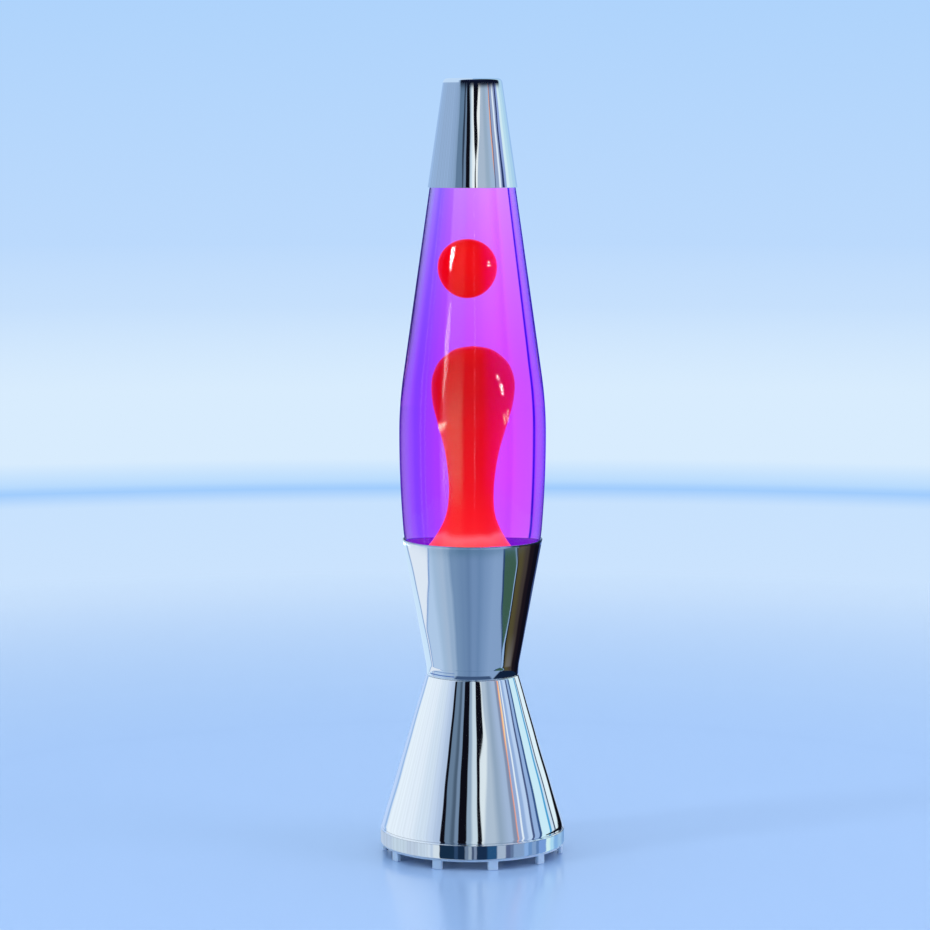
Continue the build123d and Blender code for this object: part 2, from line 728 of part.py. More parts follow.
def lead(x, *points):
    path = FilletPolyline((x, TERMINAL_Y + 1.5, LEAD_Z), *points, radius=2.2)
    return sweep(Plane(origin=path @ 0, z_dir=path % 0) * Circle(LEAD_RADIUS), path=path)


def live_lead():
    end_x, end_y, end_z = lead_end(-TERMINAL_PITCH)
    return lead(-TERMINAL_PITCH, (-TERMINAL_PITCH, -19.5, LEAD_Z), (end_x, -16.0, end_z), (end_x, end_y, end_z))


def neutral_lead():
    end_x, end_y, end_z = lead_end(TERMINAL_PITCH)
    return lead(TERMINAL_PITCH, (TERMINAL_PITCH, -19.5, LEAD_Z), (end_x, -16.0, end_z), (end_x, end_y, end_z))


def earth_lead():
    return lead(0.0, (0.0, -20.6, LEAD_Z), (0.0, -20.6, SPIDER_TOP + FIT_GAP))


# ---- write every piece -----------------------------------------------------------------------------

PIECES = {
    "base_tray": base_tray,
    "cord_grommet": cord_grommet,
    "spring_spider": spring_spider,
    "spider_screws": spider_screws,
    "lampholder_body": lampholder_body,
    "lampholder_shell": lampholder_shell,
    "centre_contact": centre_contact,
    "lampholder_screws": lampholder_screws,
    "terminal_block": terminal_block,
    "terminal_screws": terminal_screws,
    "live_lead": live_lead,
    "neutral_lead": neutral_lead,
    "earth_lead": earth_lead,
    "bulb_envelope": bulb_envelope,
    "bulb_screw_cap": bulb_screw_cap,
    "bulb_insulator": bulb_insulator,
    "bulb_tip_contact": bulb_tip_contact,
    "bulb_stem": bulb_stem,
    "filament_supports": filament_supports,
    "bulb_filament": bulb_filament,
    "lower_cone": lambda: lower_cone() - joined(rivet_holes()),
    "upper_cone": lambda: upper_cone() - joined(rivet_holes()),
    "waist_rivets": waist_rivets,
    "glass_bottle": glass_bottle,
    "wax_column": wax_column,
    "liquid": liquid,
    "heating_coil": heating_coil,
    "crown_liner": crown_liner,
    "crown_cap": crown_cap,
    "wax_blob": egg,
    "top_cap": top_cap,
}

os.makedirs("parts", exist_ok=True)
for name, make in PIECES.items():
    shape = make()
    if isinstance(shape, list):
        shape = Compound(children=shape)
    export_step(shape, f"parts/{name}.step")
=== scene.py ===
from math import acos, atan2, cos, degrees, hypot, pi, radians, sin, sqrt, tan

import bmesh
import bpy
import numpy as np
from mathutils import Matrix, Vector


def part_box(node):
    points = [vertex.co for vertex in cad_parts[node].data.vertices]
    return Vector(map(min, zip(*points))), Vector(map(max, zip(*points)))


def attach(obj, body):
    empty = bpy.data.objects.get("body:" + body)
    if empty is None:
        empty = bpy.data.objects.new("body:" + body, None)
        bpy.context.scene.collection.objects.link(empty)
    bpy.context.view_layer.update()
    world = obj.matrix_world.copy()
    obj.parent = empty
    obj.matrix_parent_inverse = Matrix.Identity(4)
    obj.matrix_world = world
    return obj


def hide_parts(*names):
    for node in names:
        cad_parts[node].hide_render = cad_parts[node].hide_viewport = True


# A lava lamp of mirror-polished metal: its looks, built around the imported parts. Outlines are in
# millimetres, as (radius, height) about the lamp's axis; Blender's own objects are in metres.

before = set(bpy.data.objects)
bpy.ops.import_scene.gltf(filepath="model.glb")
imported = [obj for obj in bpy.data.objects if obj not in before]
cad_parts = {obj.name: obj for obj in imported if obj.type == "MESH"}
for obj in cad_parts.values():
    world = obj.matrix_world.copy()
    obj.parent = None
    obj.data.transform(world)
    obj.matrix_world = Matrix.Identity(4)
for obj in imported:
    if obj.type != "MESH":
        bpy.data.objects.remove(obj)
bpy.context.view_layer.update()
MM = 0.001


def span(node):
    """Lowest z, highest z and widest radius of a CAD node, in millimetres."""
    low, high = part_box(node)
    return low.z / MM, high.z / MM, (high.x - low.x) / 2 / MM


# ---- sizes read from the frame ----

CAP_BOTTOM, LAMP_TOP, CAP_RADIUS = span("top_cap")
CUP_BOTTOM, CUP_TOP, LIP_RADIUS = span("upper_cone")
CONE_BOTTOM, WAIST_Z, BAND_RADIUS = span("lower_cone")
BOTTLE_BOTTOM, BOTTLE_TOP, BELLY_RADIUS = span("glass_bottle")
COLUMN_TOP = span("wax_column")[1]
BLOB_BOTTOM, BLOB_TOP, BLOB_RADIUS = span("wax_blob")
FILL_Z = span("liquid")[1]
BLOB_X = (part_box("wax_blob")[0].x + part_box("wax_blob")[1].x) / 2 / MM

# ---- outlines ----


def lean_point(centre, radius, angle):
    """The point of an arc where its outward normal leans angle degrees below the horizontal."""
    lean = radians(angle)
    return (centre[0] + radius * cos(lean), centre[1] - radius * sin(lean))


def arc(centre, radius, start, end, steps=12):
    """Points along an arc, from one lean of its normal to another."""
    return [lean_point(centre, radius, start + (end - start) * k / steps) for k in range(steps + 1)]


def rounded(corner, before, after, radius, steps=8):
    """Points that round a corner between two straight runs."""
    c, a, b = (np.array(p, float) for p in (corner, before, after))
    u, v = (a - c) / np.linalg.norm(a - c), (b - c) / np.linalg.norm(b - c)
    half = acos(float(np.clip(u @ v, -1, 1))) / 2
    centre = c + (u + v) / np.linalg.norm(u + v) * radius / sin(half)
    start = c + u * radius / tan(half) - centre
    end = c + v * radius / tan(half) - centre
    turn = atan2(start[0] * end[1] - start[1] * end[0], start @ end)
    points = []
    for k in range(steps + 1):
        t = turn * k / steps
        x = start[0] * cos(t) - start[1] * sin(t)
        z = start[0] * sin(t) + start[1] * cos(t)
        points.append((centre[0] + x, centre[1] + z))
    return points


def smooth_through(points, steps=10):
    """A smooth curve through given points."""
    p = np.array([points[0], *points, points[-1]], float)
    curve = []
    for k in range(1, len(p) - 2):
        a, b, c, d = p[k - 1 : k + 3]
        for t in np.arange(steps) / steps:
            q = 2 * b + (c - a) * t
            q = q + (2 * a - 5 * b + 4 * c - d) * t**2 + (3 * b - a - 3 * c + d) * t**3
            curve.append(tuple(q / 2))
    return [*curve, tuple(p[-1])]


def divided(points, longest=2.5, margin=0.3):
    """The same outline with its long straight runs divided, which keeps shading true near their ends."""
    out = [points[0]]
    for a, b in zip(points, points[1:]):
        length = hypot(b[0] - a[0], b[1] - a[1])
        run = length - 2 * margin
        inner = max(1, round(run / longest))
        stops = [margin + run * k / inner for k in range(inner + 1)] if length > 4 * margin else []
        out += [(a[0] + (b[0] - a[0]) * s / length, a[1] + (b[1] - a[1]) * s / length) for s in stops]
        out.append(b)
    return out


def new_mesh(name, vertices, faces, sharp_angle=40):
    """A mesh object in the scene, shaded smooth except at edges sharper than sharp_angle degrees."""
    mesh = bpy.data.meshes.new(name)
    mesh.from_pydata([tuple(v) for v in vertices], [], faces)
    mesh.validate()
    mesh.update()
    mesh.shade_smooth()
    if sharp_angle:
        mesh.set_sharp_from_angle(angle=radians(sharp_angle))
    piece = bpy.data.objects.new(name, mesh)
    bpy.context.scene.collection.objects.link(piece)
    return piece


ON_AXIS = 1e-6


def lathe(name, points, closed=False, segments=256, shift=None):
    """A turned piece. An open outline starts and ends on the axis; a closed one goes round a wall.
    shift(z) moves a height's ring sideways along X, in millimetres."""
    vertices, rows = [], []
    for r, z in points:
        dx = shift(z) if shift else 0.0
        if r < ON_AXIS:
            rows.append([len(vertices)])
            vertices.append((dx * MM, 0, z * MM))
            continue
        rows.append(list(range(len(vertices), len(vertices) + segments)))
        for k in range(segments):
            a = 2 * pi * k / segments
            vertices.append(((r * cos(a) + dx) * MM, r * sin(a) * MM, z * MM))
    pairs = list(zip(rows, rows[1:]))
    if closed:
        pairs.append((rows[-1], rows[0]))
    faces = []
    for low, high in pairs:
        for k in range(segments if len(low) + len(high) > 2 else 0):
            n = (k + 1) % segments
            corners = [*(low[i % len(low)] for i in (k, n)), *(high[i % len(high)] for i in (n, k))]
            faces.append(list(dict.fromkeys(corners)))
    piece = new_mesh(name, vertices, faces)
    make_normals_outward(piece)
    return piece


def make_normals_outward(piece):
    bm = bmesh.new()
    bm.from_mesh(piece.data)
    bmesh.ops.recalc_face_normals(bm, faces=bm.faces)
    bm.to_mesh(piece.data)
    bm.free()


# ---- polished shells ----

# A taper is how much the radius changes per millimetre of height; the cone's foot is its rounded edge.

CONE_TAPER = 0.2954
CONE_FOOT_Z = 12.4
CONE_FOOT_ARC = 7.0
WAIST_RADIUS = 22.0
BAND_TOP = 12.2
LOWER_WALL = 0.9
CUP_WALL = 0.6
COLLAR_RADIUS = 21.9
COLLAR_ARC = 30.0
FLANGE_OPENING = 14.6
CUP_CORNER, WAIST_CORNER = 0.58, 0.5
BELOW_LIP = (LIP_RADIUS - 0.2, CUP_TOP - 1.0)
MID_CONE_Z = 60.0
BAND_EDGE = 0.25
CAP_TAPER = 0.145
CAP_WALL = 0.5
CAP_SHOULDER = 2.2
CAP_LEAN = -degrees(atan2(CAP_TAPER, 1))
CONE_LEAN = -degrees(atan2(CONE_TAPER, 1))


def cap_shoulder():
    """Centre of the arc that rounds the top of the cap."""
    centre_z = LAMP_TOP - CAP_SHOULDER
    tangent_z = centre_z + CAP_SHOULDER * sin(radians(-CAP_LEAN))
    tangent_radius = CAP_RADIUS - (tangent_z - CAP_BOTTOM) * CAP_TAPER
    return (tangent_radius - CAP_SHOULDER * cos(radians(CAP_LEAN)), centre_z)


def cap_outline():
    """Tapered cover with a rounded shoulder and a rounded rim, from the top's outside to its inside."""
    centre = cap_shoulder()
    across = CAP_WALL * sqrt(1 + CAP_TAPER**2)
    rim = (CAP_RADIUS - across / 2, CAP_BOTTOM + across / 2)
    outside = arc(rim, across / 2, 90, CAP_LEAN, 8)
    outside += arc(centre, CAP_SHOULDER, CAP_LEAN, -90, 16)
    inside = arc(centre, CAP_SHOULDER - CAP_WALL, -90, CAP_LEAN, 12)
    inside += arc(rim, across / 2, 180 + CAP_LEAN, 90, 8)
    up = divided([(0, LAMP_TOP - CAP_WALL), *inside])
    return up + divided([*outside, (0, LAMP_TOP)])[1:]


def cup_flare():
    """Where the collar's hollow arc is centred, and how far it turns to meet the taper, in degrees."""
    centre = (COLLAR_RADIUS + COLLAR_ARC, CUP_BOTTOM + CUP_WALL)
    inwards, upwards = centre[0] - BELOW_LIP[0], BELOW_LIP[1] - centre[1]
    reach = hypot(inwards, upwards)
    return centre, degrees(atan2(upwards, inwards) - acos(COLLAR_ARC / reach))


def cup_outline():
    """Cup wall: flange, a collar that flares in a hollow arc, and the taper up to a rolled lip."""
    centre, flare = cup_flare()
    lip = (LIP_RADIUS - CUP_WALL / 2, CUP_TOP - CUP_WALL / 2)
    flange = (FLANGE_OPENING, CUP_BOTTOM)
    points = [flange]
    points += rounded((COLLAR_RADIUS, CUP_BOTTOM), flange, (COLLAR_RADIUS, centre[1]), CUP_CORNER)
    points += arc(centre, COLLAR_ARC, 180, 180 + flare, 16)
    points += [BELOW_LIP, *arc(lip, CUP_WALL / 2, 0, -180, 12)]
    points += arc(centre, COLLAR_ARC + CUP_WALL, 180 + flare, 180, 16)
    points += [(FLANGE_OPENING, centre[1])]
    return divided(points)


def cone_radius(z):
    return WAIST_RADIUS + (WAIST_Z - z) * CONE_TAPER


def cone_foot():
    """Centre of the arc that rounds the bottom edge of the cone."""
    tangent_z = CONE_FOOT_Z + CONE_FOOT_ARC * sin(radians(-CONE_LEAN))
    inset = CONE_FOOT_ARC * cos(radians(CONE_LEAN))
    return (cone_radius(tangent_z) - inset, CONE_FOOT_Z)


def cone_outline():
    """Foot: upright band, narrow ledge, rounded edge, the cone and an inward flange."""
    centre = cone_foot()
    band_inside = BAND_RADIUS - LOWER_WALL
    low_rim = (BAND_RADIUS - BAND_EDGE, CONE_BOTTOM + BAND_EDGE)
    high_rim = (BAND_RADIUS - BAND_EDGE, BAND_TOP - BAND_EDGE)
    crease = centre[0] + CONE_FOOT_ARC
    underside = WAIST_Z - LOWER_WALL
    across = LOWER_WALL * sqrt(1 + CONE_TAPER**2)
    waist, flange = (WAIST_RADIUS, WAIST_Z), (FLANGE_OPENING, WAIST_Z)
    points = [(band_inside, CONE_BOTTOM), *arc(low_rim, BAND_EDGE, 90, 0, 5)]
    points += arc(high_rim, BAND_EDGE, 0, -80, 6)
    points += [(crease + 0.06, BAND_TOP + 0.04), (crease, CONE_FOOT_Z)]
    points += arc(centre, CONE_FOOT_ARC, 0, CONE_LEAN, 8)[1:]
    points += rounded(waist, (cone_radius(MID_CONE_Z), MID_CONE_Z), flange, WAIST_CORNER)
    points += [flange, (FLANGE_OPENING, underside), (cone_radius(underside) - across, underside)]
    points += arc(centre, CONE_FOOT_ARC - LOWER_WALL, CONE_LEAN, 0, 8)
    points += [(band_inside, BAND_TOP - 0.5)]
    return divided(points)


# ---- bottle, liquid and wax ----

GLASS_WALL = 2.4
BELLY_Z = 202.0
BELOW_ARC, ABOVE_ARC, BEND_ARC = 560.0, 200.0, 60.0
BEND_LEAN, CUP_LEAN, NECK_LEAN = 4.62, 10.498, 8.07
SHOULDER_Z, NECK_Z = 338.0, 345.5
NECK_RADIUS, BEAD_RADIUS, MOUTH_RADIUS = 12.7, 13.3, 8.2
INSIDE_BOTTOM = BOTTLE_BOTTOM + 5.4
HEEL_ARC, INSIDE_HEEL_ARC, PUNT_RISE, BEAD_ARC = 4.5, 6.0, 2.2, 1.2
GLASS_STEP = 3.0
INTO_GLASS = 0.04
WAX_GAP = 0.15


def bottle_side(inset):
    """The bottle's side from the cup's taper up to the shoulder, inset from the outside."""
    below = (BELLY_RADIUS - BELOW_ARC, BELLY_Z)
    above = (BELLY_RADIUS - ABOVE_ARC, BELLY_Z)
    bend = lean_point(below, BELOW_ARC - BEND_ARC, BEND_LEAN)
    points = arc(bend, BEND_ARC - inset, CUP_LEAN, BEND_LEAN, 8)
    points += arc(below, BELOW_ARC - inset, BEND_LEAN, 0, 16)[1:]
    points += arc(above, ABOVE_ARC - inset, 0, -NECK_LEAN, 16)[1:]
    top = points[-1]
    shoulder = top[0] - (SHOULDER_Z - top[1]) * tan(radians(NECK_LEAN))
    return [*points, (shoulder, SHOULDER_Z)]


def heel(side_foot, bottom, radius):
    """The rounded heel between a flat bottom and the tapered side."""
    z = bottom + radius
    tangent_z = z - radius * sin(radians(CUP_LEAN))
    tangent_r = side_foot[0] - (side_foot[1] - tangent_z) * tan(radians(CUP_LEAN))
    centre = (tangent_r - radius * cos(radians(CUP_LEAN)), z)
    return arc(centre, radius, 90, CUP_LEAN, 12)


def inside_outline(grow=0.0):
    """The inside of the bottle from the middle of its bottom to the mouth."""
    side = bottle_side(GLASS_WALL - grow)
    bottom = INSIDE_BOTTOM - grow
    turn = (MOUTH_RADIUS + 2.4, NECK_Z - 3.1)
    neck = smooth_through([side[-1], turn, (MOUTH_RADIUS, NECK_Z + 1.0)], 8)
    return [(0, bottom), *heel(side[0], bottom, INSIDE_HEEL_ARC + grow), *side, *neck[1:]]


def bottle_outline():
    """The whole glass: a punt under the bottom, heel, side, neck and beaded mouth, and the inside."""
    side = bottle_side(0)
    base = heel(side[0], BOTTLE_BOTTOM, HEEL_ARC)
    rim = (base[0][0] - 2.0, BOTTLE_BOTTOM + 0.8)
    punt = [(rim[0] * t, rim[1] + PUNT_RISE * (1 - t**2)) for t in np.linspace(0, 1, 12)]
    turn = (NECK_RADIUS + 2.2, NECK_Z - 3.4)
    neck = smooth_through([side[-1], turn, (NECK_RADIUS, NECK_Z)], 8)
    bead = [(NECK_RADIUS, NECK_Z + 4.5), (BEAD_RADIUS, NECK_Z + 5.1)]
    bead += arc((BEAD_RADIUS - BEAD_ARC, BOTTLE_TOP - BEAD_ARC), BEAD_ARC, 0, -90, 8)
    outside = [*punt, *base, *side, *neck[1:], *bead, (MOUTH_RADIUS, BOTTLE_TOP)]
    return divided(outside + inside_outline()[::-1], GLASS_STEP)


def liquid_outline():
    """The liquid reaches a hair's breadth into the glass, so that no film of air lies between them."""
    grown = [p for p in divided(inside_outline(INTO_GLASS), GLASS_STEP) if p[1] < FILL_Z]
    return [*grown, (grown[-1][0], FILL_Z), (0, FILL_Z)]


def inside_radius(z):
    """Radius of the bottle's inside at a height."""
    radii, heights = zip(*inside_outline())
    return float(np.interp(z, heights, radii))


DRAWN_WAX = [
    (0, 243.3), (6.4, 241.7), (11.9, 236.2), (14.4, 229.6), (15.0, 223.4), (14.3, 215.5), (12.4, 206.7),
    (9.4, 192.3), (8.05, 174.5), (9.9, 160.5), (17.0, 147.8), (31.0, 139.5), (36.0, 138.0),
]


def column_outline():
    """The wax: a pool that fills the bottom, drawn up into a waist and a rounded head."""
    curve = smooth_through(DRAWN_WAX)
    surface = [(r, min(z, COLUMN_TOP)) for r, z in curve if r < inside_radius(z) - WAX_GAP]
    side = divided(inside_outline(), GLASS_STEP)[::-1]
    wall = [(r - WAX_GAP, z) for r, z in side if INSIDE_BOTTOM + 1.0 < z < surface[-1][1]]
    floor_z = INSIDE_BOTTOM + WAX_GAP
    return [*surface, *wall, (wall[-1][0] - 2.0, floor_z), (0, floor_z)]


def column_shift(z):
    """The column leans: to the left low down and a touch to the right at its head."""
    return float(np.interp(z, (120, 147, 175, 225), (0.0, -1.1, -0.45, 0.2)))


def blob_outline():
    """An egg, blunt end up."""
    widest = BLOB_BOTTOM + 0.518 * (BLOB_TOP - BLOB_BOTTOM)
    points = []
    for k in range(65):
        a = pi * k / 64
        z = cos(a)
        height = BLOB_TOP - widest if z > 0 else widest - BLOB_BOTTOM
        blunt = 1.0 + 0.02 * max(z, 0) * sin(a)
        points.append((min(BLOB_RADIUS * sin(a) * blunt, BLOB_RADIUS), widest + height * z))
    points[0], points[-1] = (0, BLOB_TOP), (0, BLOB_BOTTOM)
    return points


# ---- materials ----

GLASS_INDEX, LIQUID_INDEX = 1.5, 1.33


def fill_ramp(ramp, stops):
    """Give a colour ramp its (position, colour) stops."""
    while len(ramp.elements) > 1:
        ramp.elements.remove(ramp.elements[-1])
    ramp.elements[0].position = stops[0][0]
    for position, _ in stops[1:]:
        ramp.elements.new(position)
    for element, (_, colour) in zip(ramp.elements, stops):
        element.color = (*colour, 1)


class Shader:
    """A Principled material, with values for its sockets and helpers for its procedural detail."""

    def __init__(self, name, **sockets):
        self.material = bpy.data.materials.new(name)
        self.material.use_nodes = True
        self.nodes = self.material.node_tree.nodes
        self.links = self.material.node_tree.links
        self.bsdf = self.nodes["Principled BSDF"]
        self.output = self.nodes["Material Output"]
        self.set(**sockets)
        self.place = self.nodes.new("ShaderNodeTexCoord").outputs["Object"]

    def set(self, node=None, **values):
        """Set a node's sockets by name, or the surface's own; an underscore stands for a space."""
        for socket, value in values.items():
            (node or self.bsdf).inputs[socket.replace("_", " ")].default_value = value

    def link(self, a, b):
        self.links.new(a, b)

    def feed(self, socket, source):
        """Let a procedural value set one of the surface's sockets."""
        self.link(source, self.bsdf.inputs[socket])

    def node(self, kind, **values):
        node = self.nodes.new("ShaderNode" + kind)
        self.set(node, **values)
        return node

    def math(self, operation, a, b):
        node = self.node("Math")
        node.operation = operation
        for k, value in enumerate((a, b)):
            if isinstance(value, (int, float)):
                node.inputs[k].default_value = value
            else:
                self.link(value, node.inputs[k])
        return node.outputs[0]

    def noise(self, scale, detail=3.0, stretch=(1, 1, 1)):
        mapping = self.node("Mapping", Scale=stretch)
        self.link(self.place, mapping.inputs["Vector"])
        node = self.node("TexNoise", Scale=scale, Detail=detail)
        self.link(mapping.outputs[0], node.inputs["Vector"])
        return node.outputs["Fac"]

    def ramp(self, factor, stops, constant=False):
        node = self.node("ValToRGB")
        node.color_ramp.interpolation = "CONSTANT" if constant else "LINEAR"
        fill_ramp(node.color_ramp, stops)
        self.link(factor, node.inputs["Fac"])
        return node.outputs["Color"]

    def range(self, factor, low, high, from_low=0.35, from_high=0.65):
        node = self.node("MapRange", From_Min=from_low, From_Max=from_high, To_Min=low, To_Max=high)
        self.link(factor, node.inputs["Value"])
        return node.outputs["Result"]

    def bump(self, height, depth_mm):
        node = self.node("Bump", Strength=1.0, Distance=depth_mm * MM)
        self.link(height, node.inputs["Height"])
        self.feed("Normal", node.outputs[0])

    def height_mm(self):
        split = self.node("SeparateXYZ")
        self.link(self.place, split.inputs[0])
        return self.math("MULTIPLY", split.outputs["Z"], 1 / MM)


def polished_metal():
    """Mirror-polished aluminium, with the faint unevenness of spinning and hand polishing."""
    s = Shader("polished_metal", Base_Color=(0.93, 0.945, 0.96, 1), Metallic=1.0)
    s.feed("Roughness", s.range(s.noise(60, 4), 0.018, 0.045))
    s.bump(s.noise(38, 1.0, (1, 1, 0.35)), 0.005)
    return s.material


def clear_glass():
    s = Shader("bottle_glass", Base_Color=(0.985, 0.995, 1, 1), Roughness=0.0, IOR=GLASS_INDEX)
    s.set(Specular_Tint=(0.2, 0.2, 0.2, 1), Transmission_Weight=1.0)
    s.bump(s.noise(16, 1.0, (1, 1, 0.5)), 0.01)
    return s.material


def dyed_liquid():
    """Clear violet dye: it takes out the green, and less of the red, with depth."""
    s = Shader("violet_liquid", Base_Color=(1, 1, 1, 1), Roughness=0.0, IOR=LIQUID_INDEX)
    s.set(Specular_Tint=(0, 0, 0, 1), Transmission_Weight=1.0)
    absorb = s.node("VolumeAbsorption", Color=(0.95, 0.0, 1.0, 1), Density=38.0)
    s.link(absorb.outputs[0], s.output.inputs["Volume"])
    return s.material


# Levels from 0 to 1 run up GLOW_HEIGHT millimetres of wax from GLOW_BOTTOM.

GLOW_BOTTOM, GLOW_HEIGHT = 130.0, 170.0
# Painted light: the base colour turns paler and more orange low down, where the bulb below would light
# the wax.
WAX_BASE_AND_PAINTED_UNDERLIGHT = [
    (0.0, (0.8, 0.2, 0.15)),
    (0.12, (0.7, 0.06, 0.05)),
    (0.16, (0.6, 0.01, 0.01)),
    (1.0, (0.52, 0.001, 0.003)),
]
# Painted glow: emission that stands for the bulb's light through the wax, strongest low down, with a pale
# painted band near the bottom.
WAX_GLOW = [
    (0.0, (1.0, 0.3, 0.2)),
    (0.12, (1.0, 0.15, 0.1)),
    (0.13, (1.0, 0.22, 0.14)),
    (0.142, (1.0, 0.32, 0.2)),
    (0.155, (0.98, 0.05, 0.03)),
    (0.165, (0.98, 0.02, 0.012)),
    (0.2, (0.97, 0.009, 0.006)),
    (0.225, (0.92, 0.006, 0.004)),
    (0.27, (0.84, 0.005, 0.003)),
    (0.35, (0.78, 0.003, 0.002)),
    (0.43, (0.72, 0.001, 0.001)),
    (0.52, (0.56, 0.0, 0.0)),
    (0.62, (0.5, 0.0, 0.0)),
    (0.75, (0.78, 0.0, 0.0)),
    (1.0, (0.88, 0.0, 0.0)),
]


def red_wax():
    """Red wax with a painted glow: an emission, and a base colour that turns paler low down, stand for
    the bulb's light from below. Deep red in the head, paler and hotter over the bulb.
    """
    s = Shader("red_wax", Roughness=0.12, IOR=1.12, Emission_Strength=0.75)
    pool = s.math("DIVIDE", s.math("SUBTRACT", s.height_mm(), GLOW_BOTTOM), GLOW_HEIGHT)
    mottle = s.math("MULTIPLY", s.math("SUBTRACT", s.noise(45, 2), 0.5), 0.06)
    level = s.math("ADD", pool, mottle)
    # Painted light: the base colour and the glow both follow height, paler and brighter where the bulb
    # would light the wax.
    s.feed("Base Color", s.ramp(level, WAX_BASE_AND_PAINTED_UNDERLIGHT))
    s.feed("Emission Color", s.ramp(level, WAX_GLOW))
    return s.material


def moulded(name, tone, rough=0.35, grain=220.0, depth=0.02, translucent=0.0):
    """Moulded plastic with a fine texture and a slight unevenness of colour."""
    s = Shader(name, IOR=1.48)
    lighter = tuple(min(1.0, c * 1.08 + 0.01) for c in tone)
    darker = tuple(c * 0.9 for c in tone)
    s.feed("Base Color", s.ramp(s.noise(30, 3), [(0.3, darker), (0.7, lighter)]))
    s.feed("Roughness", s.range(s.noise(grain / 3, 3), rough * 0.85, rough * 1.2))
    s.bump(s.noise(grain, 2), depth)
    if translucent:
        s.set(Subsurface_Weight=translucent, Subsurface_Radius=(0.003, 0.004, 0.005))
    return s.material


def worked_metal(name, tone, rough=0.3, stretch=(1, 1, 1), scale=140.0, depth=0.01):
    """Bare or plated metal with the marks of how it was made."""
    s = Shader(name, Metallic=1.0)
    darker = tuple(c * 0.82 for c in tone)
    s.feed("Base Color", s.ramp(s.noise(scale / 4, 3), [(0.3, darker), (0.7, tone)]))
    marks = s.noise(scale, 4, stretch)
    s.feed("Roughness", s.range(marks, rough * 0.7, rough * 1.3))
    s.bump(marks, depth)
    return s.material


# Heights in millimetres between which the bulb's silvering gives way to its clear face.

SILVER_ENDS = (72.0, 73.2)


def bulb_glass():
    """Reflector bulb: silvered sides and a clear face."""
    s = Shader("bulb_glass", Roughness=0.06, IOR=1.5, Base_Color=(0.95, 0.96, 0.97, 1))
    face = s.range(s.height_mm(), 1.0, 0.0, *SILVER_ENDS)
    s.feed("Metallic", face)
    s.feed("Transmission Weight", s.math("SUBTRACT", 1.0, face))
    s.bump(s.noise(60, 2), 0.01)
    return s.material


def clear_stem():
    s = Shader("stem_glass", Roughness=0.03, IOR=1.5, Base_Color=(0.93, 0.97, 0.95, 1))
    s.set(Transmission_Weight=1.0)
    s.bump(s.noise(90, 2), 0.02)
    return s.material


def hot_filament():
    s = Shader("filament_wire", Metallic=1.0, Roughness=0.4, Base_Color=(0.5, 0.45, 0.4, 1))
    glow = [(0.3, (1.0, 0.45, 0.12)), (0.7, (1.0, 0.8, 0.45))]
    s.feed("Emission Color", s.ramp(s.noise(900, 0, (8, 1, 1)), glow))
    s.set(Emission_Strength=6.0)
    return s.material


def striped_sleeve():
    """Earth core: green with a yellow stripe that winds round it."""
    s = Shader("earth_sleeve", Roughness=0.35)
    wave = s.node("TexWave", Scale=260.0, Distortion=0.6)
    s.link(s.place, wave.inputs["Vector"])
    green_yellow = [(0.0, (0.05, 0.3, 0.03)), (0.55, (0.8, 0.62, 0.02))]
    s.feed("Base Color", s.ramp(wave.outputs["Fac"], green_yellow, True))
    return s.material


# ---- dressing the pieces ----


def put(piece, body, node, material):
    """A modelled piece that stands for a CAD node."""
    piece.data.materials.clear()
    piece.data.materials.append(material)
    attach(piece, body)
    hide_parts(node)
    return piece


def paint_cad(materials):
    """CAD nodes that show as they are, each with its own finish."""
    for node, material in materials.items():
        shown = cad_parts[node]
        shown.data.materials.clear()
        shown.data.materials.append(material)
        shown.data.shade_smooth()
        shown.data.set_sharp_from_angle(angle=radians(30))


metal = polished_metal()
wax = red_wax()

cap = lathe("polished_cap", cap_outline())
put(cap, "cap", "top_cap", metal)
cup = lathe("polished_cup", cup_outline(), closed=True)
put(cup, "stand", "upper_cone", metal)
foot = lathe("polished_foot", cone_outline(), closed=True)
put(foot, "stand", "lower_cone", metal)

bottle = lathe("clear_bottle", bottle_outline())
put(bottle, "bottle", "glass_bottle", clear_glass())
liquid = lathe("dyed_liquid", liquid_outline())
put(liquid, "bottle", "liquid", dyed_liquid())
column = lathe("wax_pool_and_column", column_outline(), segments=160, shift=column_shift)
put(column, "bottle", "wax_column", wax)
blob = lathe("floating_wax", blob_outline(), segments=128, shift=lambda z: BLOB_X)
put(blob, "blob", "wax_blob", wax)
for clear in (bottle, liquid):
    clear.visible_shadow = False

